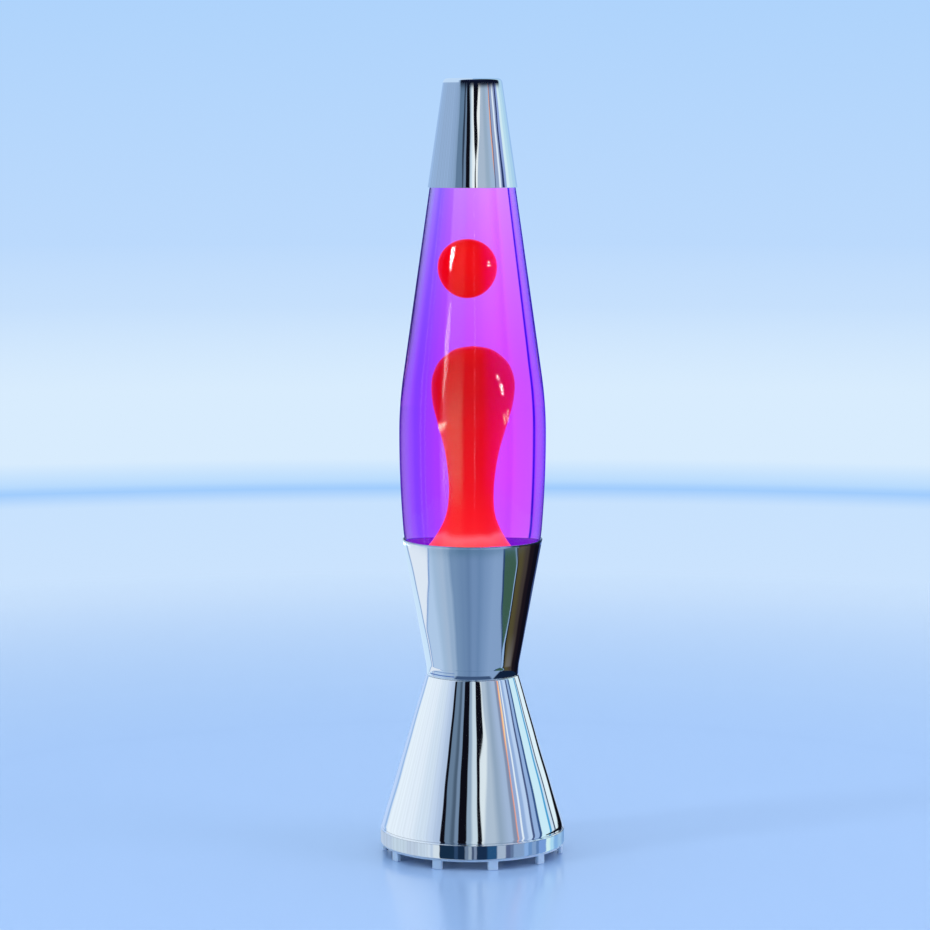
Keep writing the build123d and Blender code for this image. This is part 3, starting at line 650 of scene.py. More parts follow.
screws = worked_metal("screw_steel", (0.72, 0.72, 0.7), 0.28)
brass = worked_metal("brass", (0.8, 0.6, 0.28), 0.22)
paint_cad(
    {
        "base_tray": moulded("tray_plastic", (0.5, 0.6, 0.72), 0.25, translucent=0.5),
        "cord_grommet": moulded("black_rubber", (0.03, 0.03, 0.032), 0.6, 160, 0.05),
        "spring_spider": worked_metal("spring_steel", (0.6, 0.6, 0.62), 0.3, (1, 12, 1)),
        "spider_screws": screws,
        "lampholder_body": moulded("holder_plastic", (0.86, 0.84, 0.78), 0.28),
        "lampholder_shell": brass,
        "centre_contact": brass,
        "lampholder_screws": screws,
        "terminal_block": moulded("terminal_plastic", (0.9, 0.9, 0.86), 0.45),
        "terminal_screws": brass,
        "live_lead": moulded("brown_sleeve", (0.22, 0.09, 0.04), 0.4),
        "neutral_lead": moulded("blue_sleeve", (0.03, 0.14, 0.55), 0.4),
        "earth_lead": striped_sleeve(),
        "bulb_envelope": bulb_glass(),
        "bulb_screw_cap": worked_metal("bulb_cap_metal", (0.8, 0.8, 0.78), 0.25),
        "bulb_insulator": moulded("black_glass", (0.02, 0.02, 0.02), 0.1),
        "bulb_tip_contact": worked_metal("solder", (0.62, 0.62, 0.62), 0.45, scale=80),
        "bulb_stem": clear_stem(),
        "filament_supports": worked_metal("support_wire", (0.55, 0.55, 0.55), 0.3),
        "bulb_filament": hot_filament(),
        "waist_rivets": worked_metal("rivet_metal", (0.78, 0.79, 0.8), 0.3),
        "heating_coil": worked_metal("coil_steel", (0.55, 0.55, 0.56), 0.25, (1, 1, 8)),
        "crown_liner": moulded("liner", (0.85, 0.85, 0.82), 0.5),
        "crown_cap": worked_metal("crown_metal", (0.82, 0.83, 0.85), 0.2),
    }
)

# ---- camera ----

CAMERA_DISTANCE = 1.5635
CAMERA_HEIGHT = 0.3486
CAMERA_SIDE = -0.0036
CAMERA_PITCH = 5.9
LENS = 127.7

camera = bpy.data.objects.new("camera", bpy.data.cameras.new("camera"))
bpy.context.scene.collection.objects.link(camera)
camera.data.lens = LENS
camera.data.sensor_width = 36.0
camera.location = (CAMERA_SIDE, -CAMERA_DISTANCE, CAMERA_HEIGHT)
camera.rotation_euler = (radians(90 - CAMERA_PITCH), 0, 0)
bpy.context.scene.camera = camera

# ---- what the polished metal and the glass mirror ----
# Each polished piece, and the bottle, has its own round screen of soft light and dark shapes, which
# only its own reflections see. A screen is shaped by reflection: each place on the piece is followed
# from the camera's side out to the screen, so a shape is written down by where it shows on the piece.
# Across runs from -1 at the left outline to 1 at the right. Level counts a piece's zones from one end.

BLACK = (0.004, 0.004, 0.008)


def srgb(*channels):
    """A colour from 0 to 255 as light."""
    shares = [c / 255 for c in channels]
    return tuple(c / 12.92 if c <= 0.04045 else ((c + 0.055) / 1.055) ** 2.4 for c in shares)


def as_light(table):
    """Rows of place, colour and more, with the colours turned into light. BLACK is light already."""
    return [(place, tone if tone is BLACK else srgb(*tone), *more) for place, tone, *more in table]


def laid_over(colour, tone, cover):
    """The colours with a tone laid over them where cover is 1."""
    return colour + (np.array(tone) - colour) * cover[..., None]


def rise(value, start, width):
    """0 up to start, and growing from there to 1 over width."""
    return np.clip((value - start) / width, 0, 1)


def striped(stripes, across, level, zone=(0, 1)):
    """Colour at each place. A stripe is (left edge, colour, softness) and covers all that lies to its
    right. Its left edge is one place, or (low, high) places at the ends of the zone's levels with a
    straight edge between them, or a list of (level, place) pairs that the edge runs through."""
    colour = np.zeros((*across.shape, 3)) + np.array(stripes[0][1])
    for edge, tone, *soft in stripes[1:]:
        if isinstance(edge, list):
            levels, places = zip(*edge)
            edge = np.interp(level, levels, places)
        elif isinstance(edge, tuple):
            edge = np.interp(level, zone, edge)
        width = soft[0] if soft else 0.008
        colour = laid_over(colour, tone, np.clip((across - edge) / width + 0.5, 0, 1))
    return colour


def patch(colour, across, level, shape, tone, soft=0.01):
    """Lay a shape over the colours. It is (level, left, right) rows that its two edges run through."""
    levels, lefts, rights = zip(*shape)
    left, right = np.interp(level, levels, lefts), np.interp(level, levels, rights)
    inside = (level >= levels[0]) & (level <= levels[-1])
    cover = np.clip(np.minimum(across - left, right - across) / soft + 0.5, 0, 1) * inside
    return laid_over(colour, tone, cover)


def ribbed(colour, across, depth, until):
    """Fine upright ribs of light and shade on the left part of a piece."""
    ribs = 0.5 * np.sin(across * 171 + 0.7) + 0.3 * np.sin(across * 97 + 2.1) + 0.3 * np.sin(across * 243)
    return colour * (1 + ribs * (rise(-across, -until, 0.08) * depth))[..., None]


def wander(across, level, size):
    """Across, with the slight waviness that spun metal gives to straight edges."""
    return across + size * (np.sin(level * 9 + across * 4) + 0.6 * np.sin(level * 21 - across * 7))


def glowing_vertices(name, solid=False):
    """Light in the mesh's own colours. Unless it is solid, what lies behind it shows through too."""
    material = bpy.data.materials.new(name)
    material.use_nodes = True
    material.cycles.emission_sampling = "NONE"
    nodes, links = material.node_tree.nodes, material.node_tree.links
    nodes.remove(nodes["Principled BSDF"])
    colour = nodes.new("ShaderNodeVertexColor")
    colour.layer_name = "paint"
    light = nodes.new("ShaderNodeEmission")
    clear = nodes.new("ShaderNodeBsdfTransparent")
    both = nodes.new("ShaderNodeAddShader")
    links.new(colour.outputs["Color"], light.inputs["Color"])
    links.new(light.outputs[0], both.inputs[0])
    links.new(clear.outputs[0], both.inputs[1])
    links.new((light if solid else both).outputs[0], nodes["Material Output"].inputs["Surface"])
    return material


def painted_grid(name, places, colours, solid=False):
    """A mesh from a grid of places, closed into a ring, with a colour at every vertex."""
    rows, columns = places.shape[:2]
    faces = []
    for i in range(rows - 1):
        for j in range(columns):
            n = (j + 1) % columns
            a, b = i * columns, (i + 1) * columns
            faces.append((a + j, a + n, b + n, b + j))
    grid = new_mesh(name, places.reshape(-1, 3), faces, 0)
    paint = grid.data.color_attributes.new("paint", "FLOAT_COLOR", "POINT")
    rgba = np.ones((rows * columns, 4), dtype=np.float32)
    rgba[:, :3] = colours.reshape(-1, 3)
    paint.data.foreach_set("color", rgba.ravel())
    grid.data.materials.append(glowing_vertices(name + "_light", solid))
    return grid


def around(radius, azimuth, height):
    """Places round the lamp's axis. Azimuth 0 is at the front."""
    height = np.broadcast_to(height, azimuth.shape)
    return np.stack([radius * np.sin(azimuth), -radius * np.cos(azimuth), height], -1)


def seen_only_by(wall, *rays):
    for ray in ("camera", "diffuse", "glossy", "transmission", "volume_scatter", "shadow"):
        setattr(wall, f"visible_{ray}", ray in rays)


def light_only(screen, pieces, state="INCLUDE"):
    """Let a screen light these pieces and no others, or all others and not these."""
    lit = bpy.data.collections.new(screen.name + "_lights")
    for piece in pieces:
        lit.objects.link(piece)
    for member in lit.collection_objects:
        member.light_linking.link_state = state
    screen.light_linking.receiver_collection = lit


# How far a screen's outer columns stay from a grazing view (radians), the least step from one of its
# rows to the next (metres), its lowest and highest place, and how its ends are drawn in to close it.

GRAZING = 0.002
ROW_RISE = 0.0005
SCREEN_ENDS = (-1.5, 1.9)
DRAWN_IN = (0.02, 0.02, 1.1)


def mirrored_screen(name, profile, paint, radius, piece):
    """Round screen for one turned piece. profile is (radius, height, tilt up in degrees, level) rows
    in the order in which they mirror the screen from the bottom up."""
    eye = np.array([CAMERA_SIDE, -CAMERA_DISTANCE, CAMERA_HEIGHT])
    turns = np.linspace(-1, 1, 1201)[1:-1]
    rows, levels = [], []
    for r, z, tilt, level in profile:
        r, z, t = r * MM, z * MM, radians(tilt)
        edge = acos((r + (z - eye[2]) * tan(t)) / CAMERA_DISTANCE)
        facing = turns * (edge - GRAZING)
        spot = around(r, facing, z)
        normal = around(cos(t), facing, sin(t))
        view = eye - spot
        view /= np.linalg.norm(view, axis=1)[:, None]
        ray = 2 * (view * normal).sum(1)[:, None] * normal - view
        a = ray[:, 0] ** 2 + ray[:, 1] ** 2
        b = spot[:, 0] * ray[:, 0] + spot[:, 1] * ray[:, 1]
        reach = (np.sqrt(b * b + a * (radius * radius - r * r)) - b) / a
        hits = spot + ray * reach[:, None]
        middle = len(turns) // 2
        if rows and hits[middle, 2] < rows[-1][middle, 2] + ROW_RISE:
            continue
        if rows:
            hits[:, 2] = np.maximum(hits[:, 2], rows[-1][:, 2] + ROW_RISE / 5)
        rows.append(hits)
        levels.append(level)
    below, above = rows[0].copy(), rows[-1].copy()
    below[:, 2], above[:, 2] = SCREEN_ENDS
    floor, ceiling = below * DRAWN_IN, above * DRAWN_IN
    places = np.stack([floor, below, *rows, above, ceiling])
    levels = np.array([levels[0], levels[0], *levels, levels[-1], levels[-1]])
    across, level = np.meshgrid(np.sin(turns * pi / 2), levels)
    screen = painted_grid(name, places, paint(across, level))
    seen_only_by(screen, "glossy")
    light_only(screen, [piece])


def between(start, end, steps, level_start, level_end):
    """Profile rows along a straight run or along a change of tilt."""
    rows = []
    for k in range(steps + 1):
        t = k / steps
        row = [a + (b - a) * t for a, b in zip(start, end)]
        rows.append((*row, level_start + (level_end - level_start) * t))
    return rows


def arc_rows(centre, radius, start, end, steps, level_start, level_end, hollow=False):
    """Profile rows along an arc; start and end are tilts of its surface above upright, in degrees."""
    rows = []
    for k in range(steps + 1):
        t = k / steps
        tilt = start + (end - start) * t
        place = lean_point(centre, -radius if hollow else radius, -tilt)
        rows.append((*place, tilt, level_start + (level_end - level_start) * t))
    return rows


# The cap: level 0 at its rim, 1 at the shoulder, 2 where the shoulder has turned well up.

CAP_STRIPES = as_light([
    (-1.0, (156, 188, 230)),
    (-0.95, (150, 180, 218), 0.03),
    (-0.85, (148, 176, 212), 0.05),
    (-0.55, (142, 170, 206), 0.06),
    (-0.46, (136, 164, 198), 0.06),
    (-0.395, (98, 126, 156), 0.03),
    ([(0, -0.235), (0.5, -0.27), (1, -0.25)], (44, 58, 78), 0.02),
    (-0.215, (108, 132, 160), 0.02),
    ((-0.155, -0.18), BLACK),
    ([(0, -0.075), (0.7, -0.075), (1, -0.1)], (120, 140, 158)),
    ((-0.055, -0.06), (202, 222, 236), 0.02),
    (-0.01, (236, 246, 250)),
    ([(0, 0.045), (0.18, 0.05), (0.27, 0.065), (0.45, 0.035), (0.7, 0.025), (1, 0.03)], BLACK),
    ([(0, 0.075), (0.18, 0.075), (0.27, 0.08), (0.45, 0.13), (0.7, 0.12), (1, 0.19)], (240, 246, 246)),
    ([(0, 0.11), (0.3, 0.13), (0.6, 0.19), (1, 0.25)], (170, 188, 208), 0.015),
    (0.3, (154, 176, 198), 0.06),
    (0.4, (162, 186, 214), 0.06),
    ([(0, 0.52), (0.3, 0.485), (0.6, 0.475), (1, 0.49)], (236, 170, 140), 0.012),
    (0.505, (60, 84, 124)),
    (0.522, (150, 168, 204), 0.02),
    ((0.6, 0.585), (228, 242, 254), 0.02),
    ((0.64, 0.63), (146, 162, 200), 0.02),
    ([(0, 0.67), (0.5, 0.665), (1, 0.68)], (40, 56, 104)),
    ([(0, 0.72), (0.5, 0.7), (1, 0.72)], (144, 166, 220)),
    (0.765, (214, 240, 248), 0.015),
    (0.83, (188, 224, 242), 0.03),
    (0.9, (172, 212, 240), 0.03),
    (0.965, (156, 194, 238), 0.02),
])


def cap_paint(across, level):
    """The stripes, closed at the shoulder by a dark edge on the right and a pale one on the left."""
    moved = wander(across, level, 0.003)
    colour = ribbed(striped(CAP_STRIPES, moved, np.clip(level, 0, 1)), across, 0.09, -0.3)
    shaded = rise(level - 0.965 - 0.012 * np.cos(across * 16), 0, 0.02)
    right = rise(across, -0.44, 0.05) * rise(-across, -0.9, 0.05)
    left = rise(-across, 0.44, 0.05) * rise(level, 1.0, 0.05)
    return laid_over(laid_over(colour, srgb(14, 20, 40), shaded * right), srgb(196, 222, 250), left)


# The foot: level 0 to 1 up its band, 1 to 2 up the rounded edge, 2 to 3 up the cone.

CONE_STRIPES = as_light([
    (-1.0, (190, 214, 250)),
    (-0.965, (150, 186, 232), 0.01),
    (-0.945, (232, 244, 254), 0.015),
    (-0.8, (228, 240, 252), 0.1),
    (-0.64, (212, 228, 244), 0.1),
    (-0.5, (196, 214, 238), 0.08),
    (-0.42, (178, 198, 226), 0.06),
    ((-0.352, -0.358), BLACK),
    ([(2, -0.302), (2.3, -0.318), (3, -0.318)], (104, 128, 154)),
    (-0.245, (76, 96, 118), 0.03),
    (-0.2, (118, 142, 170), 0.02),
    ((-0.16, -0.155), BLACK),
    ((-0.07, -0.055), (146, 168, 190), 0.012),
    (-0.01, (202, 220, 232), 0.03),
    ((0.052, 0.06), BLACK),
    ([(2, 0.1), (2.28, 0.088), (2.5, 0.098), (2.59, 0.138), (2.66, 0.164), (2.93, 0.166), (3, 0.15)],
     (222, 234, 240)),
    ([(2, 0.125), (2.62, 0.22), (3, 0.17)], (176, 194, 212), 0.03),
    (0.27, (148, 170, 194), 0.06),
    (0.36, (164, 186, 216), 0.08),
    ((0.44, 0.455), (132, 146, 174), 0.02),
    ([(2, 0.486), (2.5, 0.486), (3, 0.498)], (236, 150, 132), 0.008),
    ([(2, 0.496), (2.5, 0.497), (2.9, 0.506), (3, 0.52)], (252, 214, 160), 0.008),
    ([(2, 0.498), (2.5, 0.5), (2.7, 0.525), (2.9, 0.53), (3, 0.53)], (150, 172, 214), 0.008),
    ((0.535, 0.553), (232, 244, 254)),
    ((0.555, 0.573), (150, 178, 220)),
    ((0.6, 0.615), (188, 212, 244), 0.02),
    ((0.648, 0.675), (70, 88, 130)),
    ((0.672, 0.7), (150, 180, 224)),
    ((0.725, 0.735), (50, 84, 136)),
    ((0.752, 0.758), (206, 240, 252)),
    ((0.84, 0.855), (74, 164, 214)),
    ((0.862, 0.875), (206, 228, 246)),
    ([(2, 0.893), (2.6, 0.885), (3, 0.885)], (30, 50, 84)),
    ([(2, 0.907), (2.6, 0.898), (3, 0.898)], (228, 246, 254)),
    ([(2, 0.945), (2.2, 0.957), (3, 0.966)], BLACK),
    ([(2, 0.985), (2.2, 0.986), (3, 0.99)], (186, 212, 248)),
])
BAND_STRIPES = as_light([
    (-1.0, (186, 204, 227)),
    (-0.88, (196, 214, 229), 0.04),
    (-0.72, (189, 205, 224), 0.03),
    (-0.6, (196, 213, 230), 0.04),
    (-0.5, (206, 222, 238), 0.03),
    (-0.46, (190, 208, 230), 0.02),
    (-0.43, (213, 226, 236), 0.012),
    (-0.36, (22, 46, 72)),
    (-0.2, (44, 70, 104), 0.01),
    (-0.16, (22, 42, 68), 0.01),
    (-0.085, (110, 130, 156), 0.012),
    (-0.045, (150, 168, 188)),
    (-0.01, (70, 88, 118)),
    (0.015, (124, 142, 170)),
    (0.045, (24, 46, 76)),
    (0.16, (38, 82, 126), 0.02),
    (0.265, (166, 184, 207), 0.012),
    (0.36, (84, 100, 138), 0.012),
    (0.41, (98, 121, 158), 0.012),
    (0.445, (131, 159, 198), 0.012),
    (0.56, (138, 176, 226), 0.02),
    (0.605, (107, 147, 199), 0.01),
    (0.645, (129, 161, 204), 0.01),
    (0.69, (96, 132, 183), 0.01),
    (0.72, (120, 158, 218), 0.01),
    (0.8, (211, 242, 245), 0.01),
    (0.845, (173, 219, 244), 0.02),
    (0.885, (131, 179, 228), 0.02),
    (0.93, (152, 194, 231), 0.02),
    (0.97, (126, 167, 217), 0.02),
])
LEDGE_LEVEL = 1.12
FOOT_CORNER = [(1.35, 0.8, 0.985), (1.6, 0.8, 0.985), (2.05, 0.95, 0.985)]


def foot_paint(across, level):
    """Band and cone, with a dull line where they meet."""
    moved = wander(across, level, 0.0025)
    cone = ribbed(striped(CONE_STRIPES, moved, level, (2, 3)), across, 0.05, -0.36)
    cone = patch(cone, across, level, FOOT_CORNER, BLACK)
    band = ribbed(striped(BAND_STRIPES, moved, level), across, 0.07, -0.4)
    line = np.clip(1 - abs(level - LEDGE_LEVEL) / 0.12, 0, 1)
    colour = np.where((level < LEDGE_LEVEL)[..., None], band, cone)
    return laid_over(colour, srgb(70, 92, 130), line * 0.7)


# The cup: level 0 at its lip, 1 where the taper meets the collar, 1 to 2 down the collar.

CUP_STRIPES = as_light([
    (-1.0, (206, 232, 254)),
    ([(0, -0.965), (0.7, -0.9), (1, -0.89)], (120, 156, 208), 0.01),
    ([(0, -0.95), (0.7, -0.885), (1, -0.875)], (226, 236, 248), 0.015),
    ([(0, -0.66), (0.3, -0.72), (0.5, -0.79), (0.7, -0.866), (1, -0.858)], (112, 148, 204), 0.01),
    ([(0, -0.64), (0.3, -0.7), (0.5, -0.77), (0.7, -0.85), (1, -0.845)], (178, 204, 234), 0.02),
    (-0.63, (162, 189, 218), 0.08),
    (-0.54, (164, 187, 214), 0.1),
    (-0.44, (150, 176, 206), 0.05),
    ([(0, -0.37), (0.4, -0.335), (1, -0.335)], (116, 146, 182), 0.05),
    (-0.22, (108, 138, 176), 0.1),
    (-0.1, (101, 131, 170), 0.06),
    (-0.03, (112, 142, 182), 0.06),
    (0.08, (106, 137, 177), 0.06),
    (0.16, (120, 150, 190), 0.1),
    (0.28, (132, 161, 200), 0.12),
    ([(0, 0.45), (0.5, 0.495), (0.8, 0.57), (1, 0.62)], (38, 64, 106), 0.01),
    ([(0, 0.475), (0.5, 0.52), (0.8, 0.59), (1, 0.64)], (60, 92, 78), 0.01),
    ([(0, 0.627), (0.14, 0.668), (0.6, 0.658), (0.8, 0.61), (0.86, 0.6), (1, 0.62)], (150, 184, 226)),
    ([(0, 0.64), (0.14, 0.68), (0.6, 0.67), (0.8, 0.635), (1, 0.655)], BLACK),
    ([(0, 0.66), (0.14, 0.695), (0.6, 0.688), (0.8, 0.66), (1, 0.68)], (82, 76, 50), 0.01),
    (0.77, (66, 58, 54), 0.06),
    (0.84, (26, 20, 28), 0.03),
    (0.91, (14, 14, 26), 0.02),
    ((0.975, 0.985), (60, 80, 130), 0.01),
])
COLLAR_SHAPES = [
    ([(1.35, 0.6, 1.0), (2, 0.45, 1.0)], srgb(18, 34, 60), 0.03),
    ([(1.75, -0.36, 0.38), (2, -0.4, 0.42)], srgb(60, 84, 120), 0.05),
    ([(1.5, -0.93, -0.4), (1.56, -0.93, -0.4)], srgb(70, 108, 180), 0.03),
    ([(1.8, -0.93, -0.4), (1.86, -0.93, -0.4)], srgb(70, 108, 180), 0.03),
]


def cup_paint(across, level):
    """The stripes, with grey low on the right, a cool tongue under the lip and lines on the collar."""
    moved = wander(across, level, 0.003)
    colour = striped(CUP_STRIPES, moved, np.clip(level, 0, 1))
    grey = rise(level, 0.72, 0.28) * rise(across, 0.68, 0.04) * rise(-across, -0.84, 0.05)
    colour = laid_over(colour, srgb(126, 124, 122), grey * 0.6)
    tongue = rise(-level, -0.08, 0.08) * np.clip(1.3 - abs(across) * 1.6, 0, 1)
    colour = laid_over(colour, srgb(74, 112, 140), tongue * 0.8)
    for shape, tone, soft in COLLAR_SHAPES:
        colour = patch(colour, across, level, shape, tone, soft)
    lip = (level > 2.05)[..., None]
    return np.where(lip, colour * 0.6 + np.array(srgb(60, 100, 120)) * 0.2, colour)


# The bottle: a faint sheen, brightest in a soft upright streak and along the outlines.

SHEEN_STRIPES = [
    (-1.0, srgb(70, 40, 190)),
    (-0.985, srgb(44, 26, 120), 0.01),
    (-0.955, (0.02, 0.02, 0.2), 0.03),
    (-0.72, (2.0, 1.4, 5.0), 0.012),
    (-0.705, (0.02, 0.02, 0.2), 0.012),
    (-0.66, (1.8, 1.4, 5.0), 0.012),
    (-0.645, (0.02, 0.02, 0.2), 0.012),
    (-0.42, (9.0, 8.0, 10.0), 0.06),
    (-0.36, (1.5, 5.0, 3.5), 0.05),
    (-0.32, (2.0, 9.0, 6.0), 0.06),
    (-0.14, (0.1, 0.5, 0.3), 0.06),
    (0.028, (14.0, 10.0, 12.0), 0.008),
    (0.036, (0.5, 0.02, 0.3), 0.01),
    (0.2, (6.0, 0.0, 7.0), 0.15),
    (0.34, (9.0, 0.0, 10.0), 0.12),
    (0.56, (0.5, 0.02, 5.0), 0.1),
    (0.955, (0.05, 0.02, 0.5), 0.02),
    (0.975, srgb(70, 20, 250), 0.01),
]
WHITE_LIGHT = (160.0, 155.0, 160.0)
SOFT_LIGHT = (26.0, 26.0, 26.0)
CREAM_LIGHT = (60.0, 50.0, 38.0)
SHEEN_SPOTS = [
    (WHITE_LIGHT, [(281, -0.42, -0.405), (286, -0.43, -0.37), (292, -0.385, -0.335)]),
    (SOFT_LIGHT, [(222, -0.42, -0.4), (235, -0.42, -0.37), (250, -0.43, -0.36), (266, -0.385, -0.365)]),
    (CREAM_LIGHT, [(206, -0.44, -0.42), (209, -0.48, -0.36), (211, -0.36, -0.35)]),
    (WHITE_LIGHT, [(224, 0.4, 0.43), (228, 0.38, 0.42)]),
    (WHITE_LIGHT, [(231, 0.345, 0.375), (233, 0.34, 0.37)]),
    (CREAM_LIGHT, [(210, 0.42, 0.44), (214, 0.42, 0.445)]),
    (CREAM_LIGHT, [(211, 0.47, 0.485), (216, 0.475, 0.49)]),
    (WHITE_LIGHT, [(283, 0.285, 0.315), (285, 0.29, 0.32)]),
]


def sheen_paint(across, level):
    """The sheen, weaker near the cup and, on the left, near the top, with small spots of light."""
    moved = wander(across, level, 0.004)
    colour = striped(SHEEN_STRIPES, moved, level)
    side = bottle_side(0)
    height = side[0][1] + level * (side[-1][1] - side[0][1])
    below = np.interp(height, (168, 186), (0.2, 1.0))
    above = np.interp(height, (214, 228, 242), (1.0, 0.5, 0.25))
    fade = np.where(across < 0, below * above, below)
    here = rise(across, -0.5, 0.1)
    colour = colour * (1 + (fade - 1) * here)[..., None]
    for light, shape in SHEEN_SPOTS:
        colour = patch(colour, across, height, shape, light, 0.015)
    return colour


# Everything else mirrors a plain pale room.

ROOM = [
    (-1.5, srgb(150, 180, 226)),
    (0.0, srgb(187, 217, 252)),
    (0.5, srgb(214, 234, 255)),
    (1.9, srgb(250, 252, 255)),
]


def room_paint(azimuth, height):
    heights, tones = zip(*ROOM)
    tones = np.array(tones)
    colour = np.stack([np.interp(height, heights, tones[:, k]) for k in range(3)], -1)
    shade = 0.78 + 0.22 * np.cos(azimuth + 0.9) * np.cos(azimuth * 3)
    return colour * shade[..., None]


def room_screen(radius):
    turns, slopes = np.linspace(-pi, pi, 97)[:-1], np.linspace(-pi / 2, pi / 2, 49) * 0.999
    azimuth, elevation = np.meshgrid(turns, slopes)
    places = around(radius * np.cos(elevation), azimuth, radius * np.sin(elevation))
    return painted_grid("room_screen", places, room_paint(azimuth, np.tan(elevation * 0.98)))


def cap_profile():
    centre = cap_shoulder()
    tilt = -CAP_LEAN
    wall_top = lean_point(centre, CAP_SHOULDER, CAP_LEAN)
    wall = between((CAP_RADIUS, CAP_BOTTOM, tilt), (*wall_top, tilt), 24, 0, 1)
    return wall + arc_rows(centre, CAP_SHOULDER, tilt, 36, 12, 1, 2)[1:]


def foot_profile():
    centre, tilt = cone_foot(), -CONE_LEAN
    band = between((BAND_RADIUS, CONE_BOTTOM, 0), (BAND_RADIUS, BAND_TOP, 0), 10, 0, 1)
    edge = arc_rows(centre, CONE_FOOT_ARC, 0.5, tilt, 12, 1, 2)
    cone = between((*edge[-1][:2], tilt), (WAIST_RADIUS, WAIST_Z, tilt), 40, 2, 3)
    return band + edge + cone[1:]


def cup_profile():
    centre, flare = cup_flare()
    collar = arc_rows(centre, COLLAR_ARC, -flare * 0.93, -0.5, 20, 1.05, 2, hollow=True)
    meets = lean_point(centre, -COLLAR_ARC, flare)
    taper = between((*meets, -flare), (*BELOW_LIP, -flare), 30, 1, 0)
    return [*taper, *collar, (*collar[-1][:2], 0.5, 2.1)]


def bottle_profile():
    places, side = [], bottle_side(0)
    for (r, z), (next_r, next_z) in zip(side, side[1:]):
        tilt = degrees(atan2(r - next_r, next_z - z))
        for t in (0.02, 0.98) if next_z - z > 8 else (0.5,):
            places.append((r + (next_r - r) * t, z + (next_z - z) * t, tilt))
    radii, heights, tilts = zip(*places)
    fine = np.arange(heights[0], heights[-1], 1.0)
    levels = (fine - side[0][1]) / (side[-1][1] - side[0][1])
    return list(zip(np.interp(fine, heights, radii), fine, np.interp(fine, heights, tilts), levels))


# ---- what is seen through the bottle ----
# The filled bottle is a strong lens: it shows, turned left to right, what stands behind the lamp. So
# the screen for it is written down by where it shows across the bottle too. The same picture stands
# in front of the lamp, turned half round and dimmer, for when it is looked at from the back.

THROUGH_STRIPES = [
    (-1.0, (0.05, 0.06, 0.35)),
    (-0.965, (0.42, 0.95, 0.95), 0.03),
    (-0.9, (0.4, 0.85, 1.0), 0.04),
    (-0.85, (0.38, 0.6, 1.0), 0.05),
    ((-0.8, -0.7), (0.29, 0.42, 1.0), 0.06),
    ((-0.7, -0.64), (0.35, 0.45, 1.0), 0.05),
    (-0.6, (0.42, 0.5, 1.0), 0.05),
    (-0.5, (0.49, 0.54, 1.0), 0.08),
    (-0.4, (0.6, 0.78, 1.0), 0.05),
    (-0.3, (0.63, 0.8, 1.0), 0.06),
    (-0.1, (0.7, 0.84, 1.0), 0.1),
    (0.1, (0.76, 0.93, 1.0), 0.15),
    (0.35, (0.74, 0.78, 1.0), 0.1),
    (0.42, (0.7, 0.68, 1.0), 0.05),
    (0.5, (0.79, 0.86, 1.0), 0.04),
    (0.62, (0.77, 0.8, 1.0), 0.1),
    (0.7, (0.76, 0.76, 1.0), 0.1),
    ([(0.08, 0.795), (0.19, 0.77), (0.28, 0.745)], (0.01, 0.01, 0.6), 0.014),
    ([(0.08, 0.832), (0.19, 0.808), (0.28, 0.785)], (0.5, 0.5, 1.0), 0.015),
    (0.85, (0.46, 0.68, 1.0), 0.02),
    (0.92, (0.36, 0.68, 1.0), 0.04),
    (0.975, (0.12, 0.16, 0.9), 0.02),
]

# How the red and the green grow with height, as heights in metres and factors.

RED_UP = ((-0.05, 0.3), (0.84, 1.04))
GREEN_UP = ((-0.05, 0.3), (0.6, 1.03))
FRONT_DIMMER, BACKLIGHT_STRENGTH = 0.4, 1.05


def refracted(across):
    """How far a view is turned by the filled bottle, in radians, at a place across it."""
    inner = 1 - GLASS_WALL / BELLY_RADIUS
    b = abs(across)
    bend = np.arcsin(b) - np.arcsin(b / GLASS_INDEX)
    bend += np.arcsin(b / (GLASS_INDEX * inner)) - np.arcsin(b / (LIQUID_INDEX * inner))
    return 2 * bend * np.sign(across)


def through_screen(radius):
    across = np.linspace(-0.995, 0.995, 801)
    turned = refracted(across)
    azimuth = np.concatenate([pi + turned, turned])
    across = np.concatenate([across, across])
    heights = np.linspace(-0.3, 1.3, 41)
    azimuth, height = np.meshgrid(azimuth, heights)
    across = np.broadcast_to(across, height.shape)
    colour = striped(THROUGH_STRIPES, across, height, (0.08, 0.28))
    red, green = np.interp(height, *RED_UP), np.interp(height, *GREEN_UP)
    colour = colour * np.stack([red, green, np.ones_like(red)], -1)
    front = np.clip(np.cos(azimuth) * 2, 0, 1) * FRONT_DIMMER
    colour = colour * (1 - front)[..., None] * BACKLIGHT_STRENGTH
    return painted_grid("backlight_screen", around(radius, azimuth, height), colour, solid=True)


BACKLIGHT_RADIUS, FIRST_MIRROR, MIRROR_GAP, ROOM_RADIUS = 0.9, 1.0, 0.03, 12.0
MIRRORS = [
    ("cap_mirror", cap_profile, cap_paint, cap),
    ("foot_mirror", foot_profile, foot_paint, foot),
    ("cup_mirror", cup_profile, cup_paint, cup),
    ("bottle_mirror", bottle_profile, sheen_paint, bottle),
]
for k, (name, profile, paint, piece) in enumerate(MIRRORS):
    mirrored_screen(name, profile(), paint, FIRST_MIRROR + MIRROR_GAP * k, piece)
room = room_screen(ROOM_RADIUS)
seen_only_by(room, "glossy")
light_only(room, [cap, foot, cup, bottle], "EXCLUDE")
seen_only_by(through_screen(BACKLIGHT_RADIUS), "transmission")


# ---- floor, backdrop and light ----

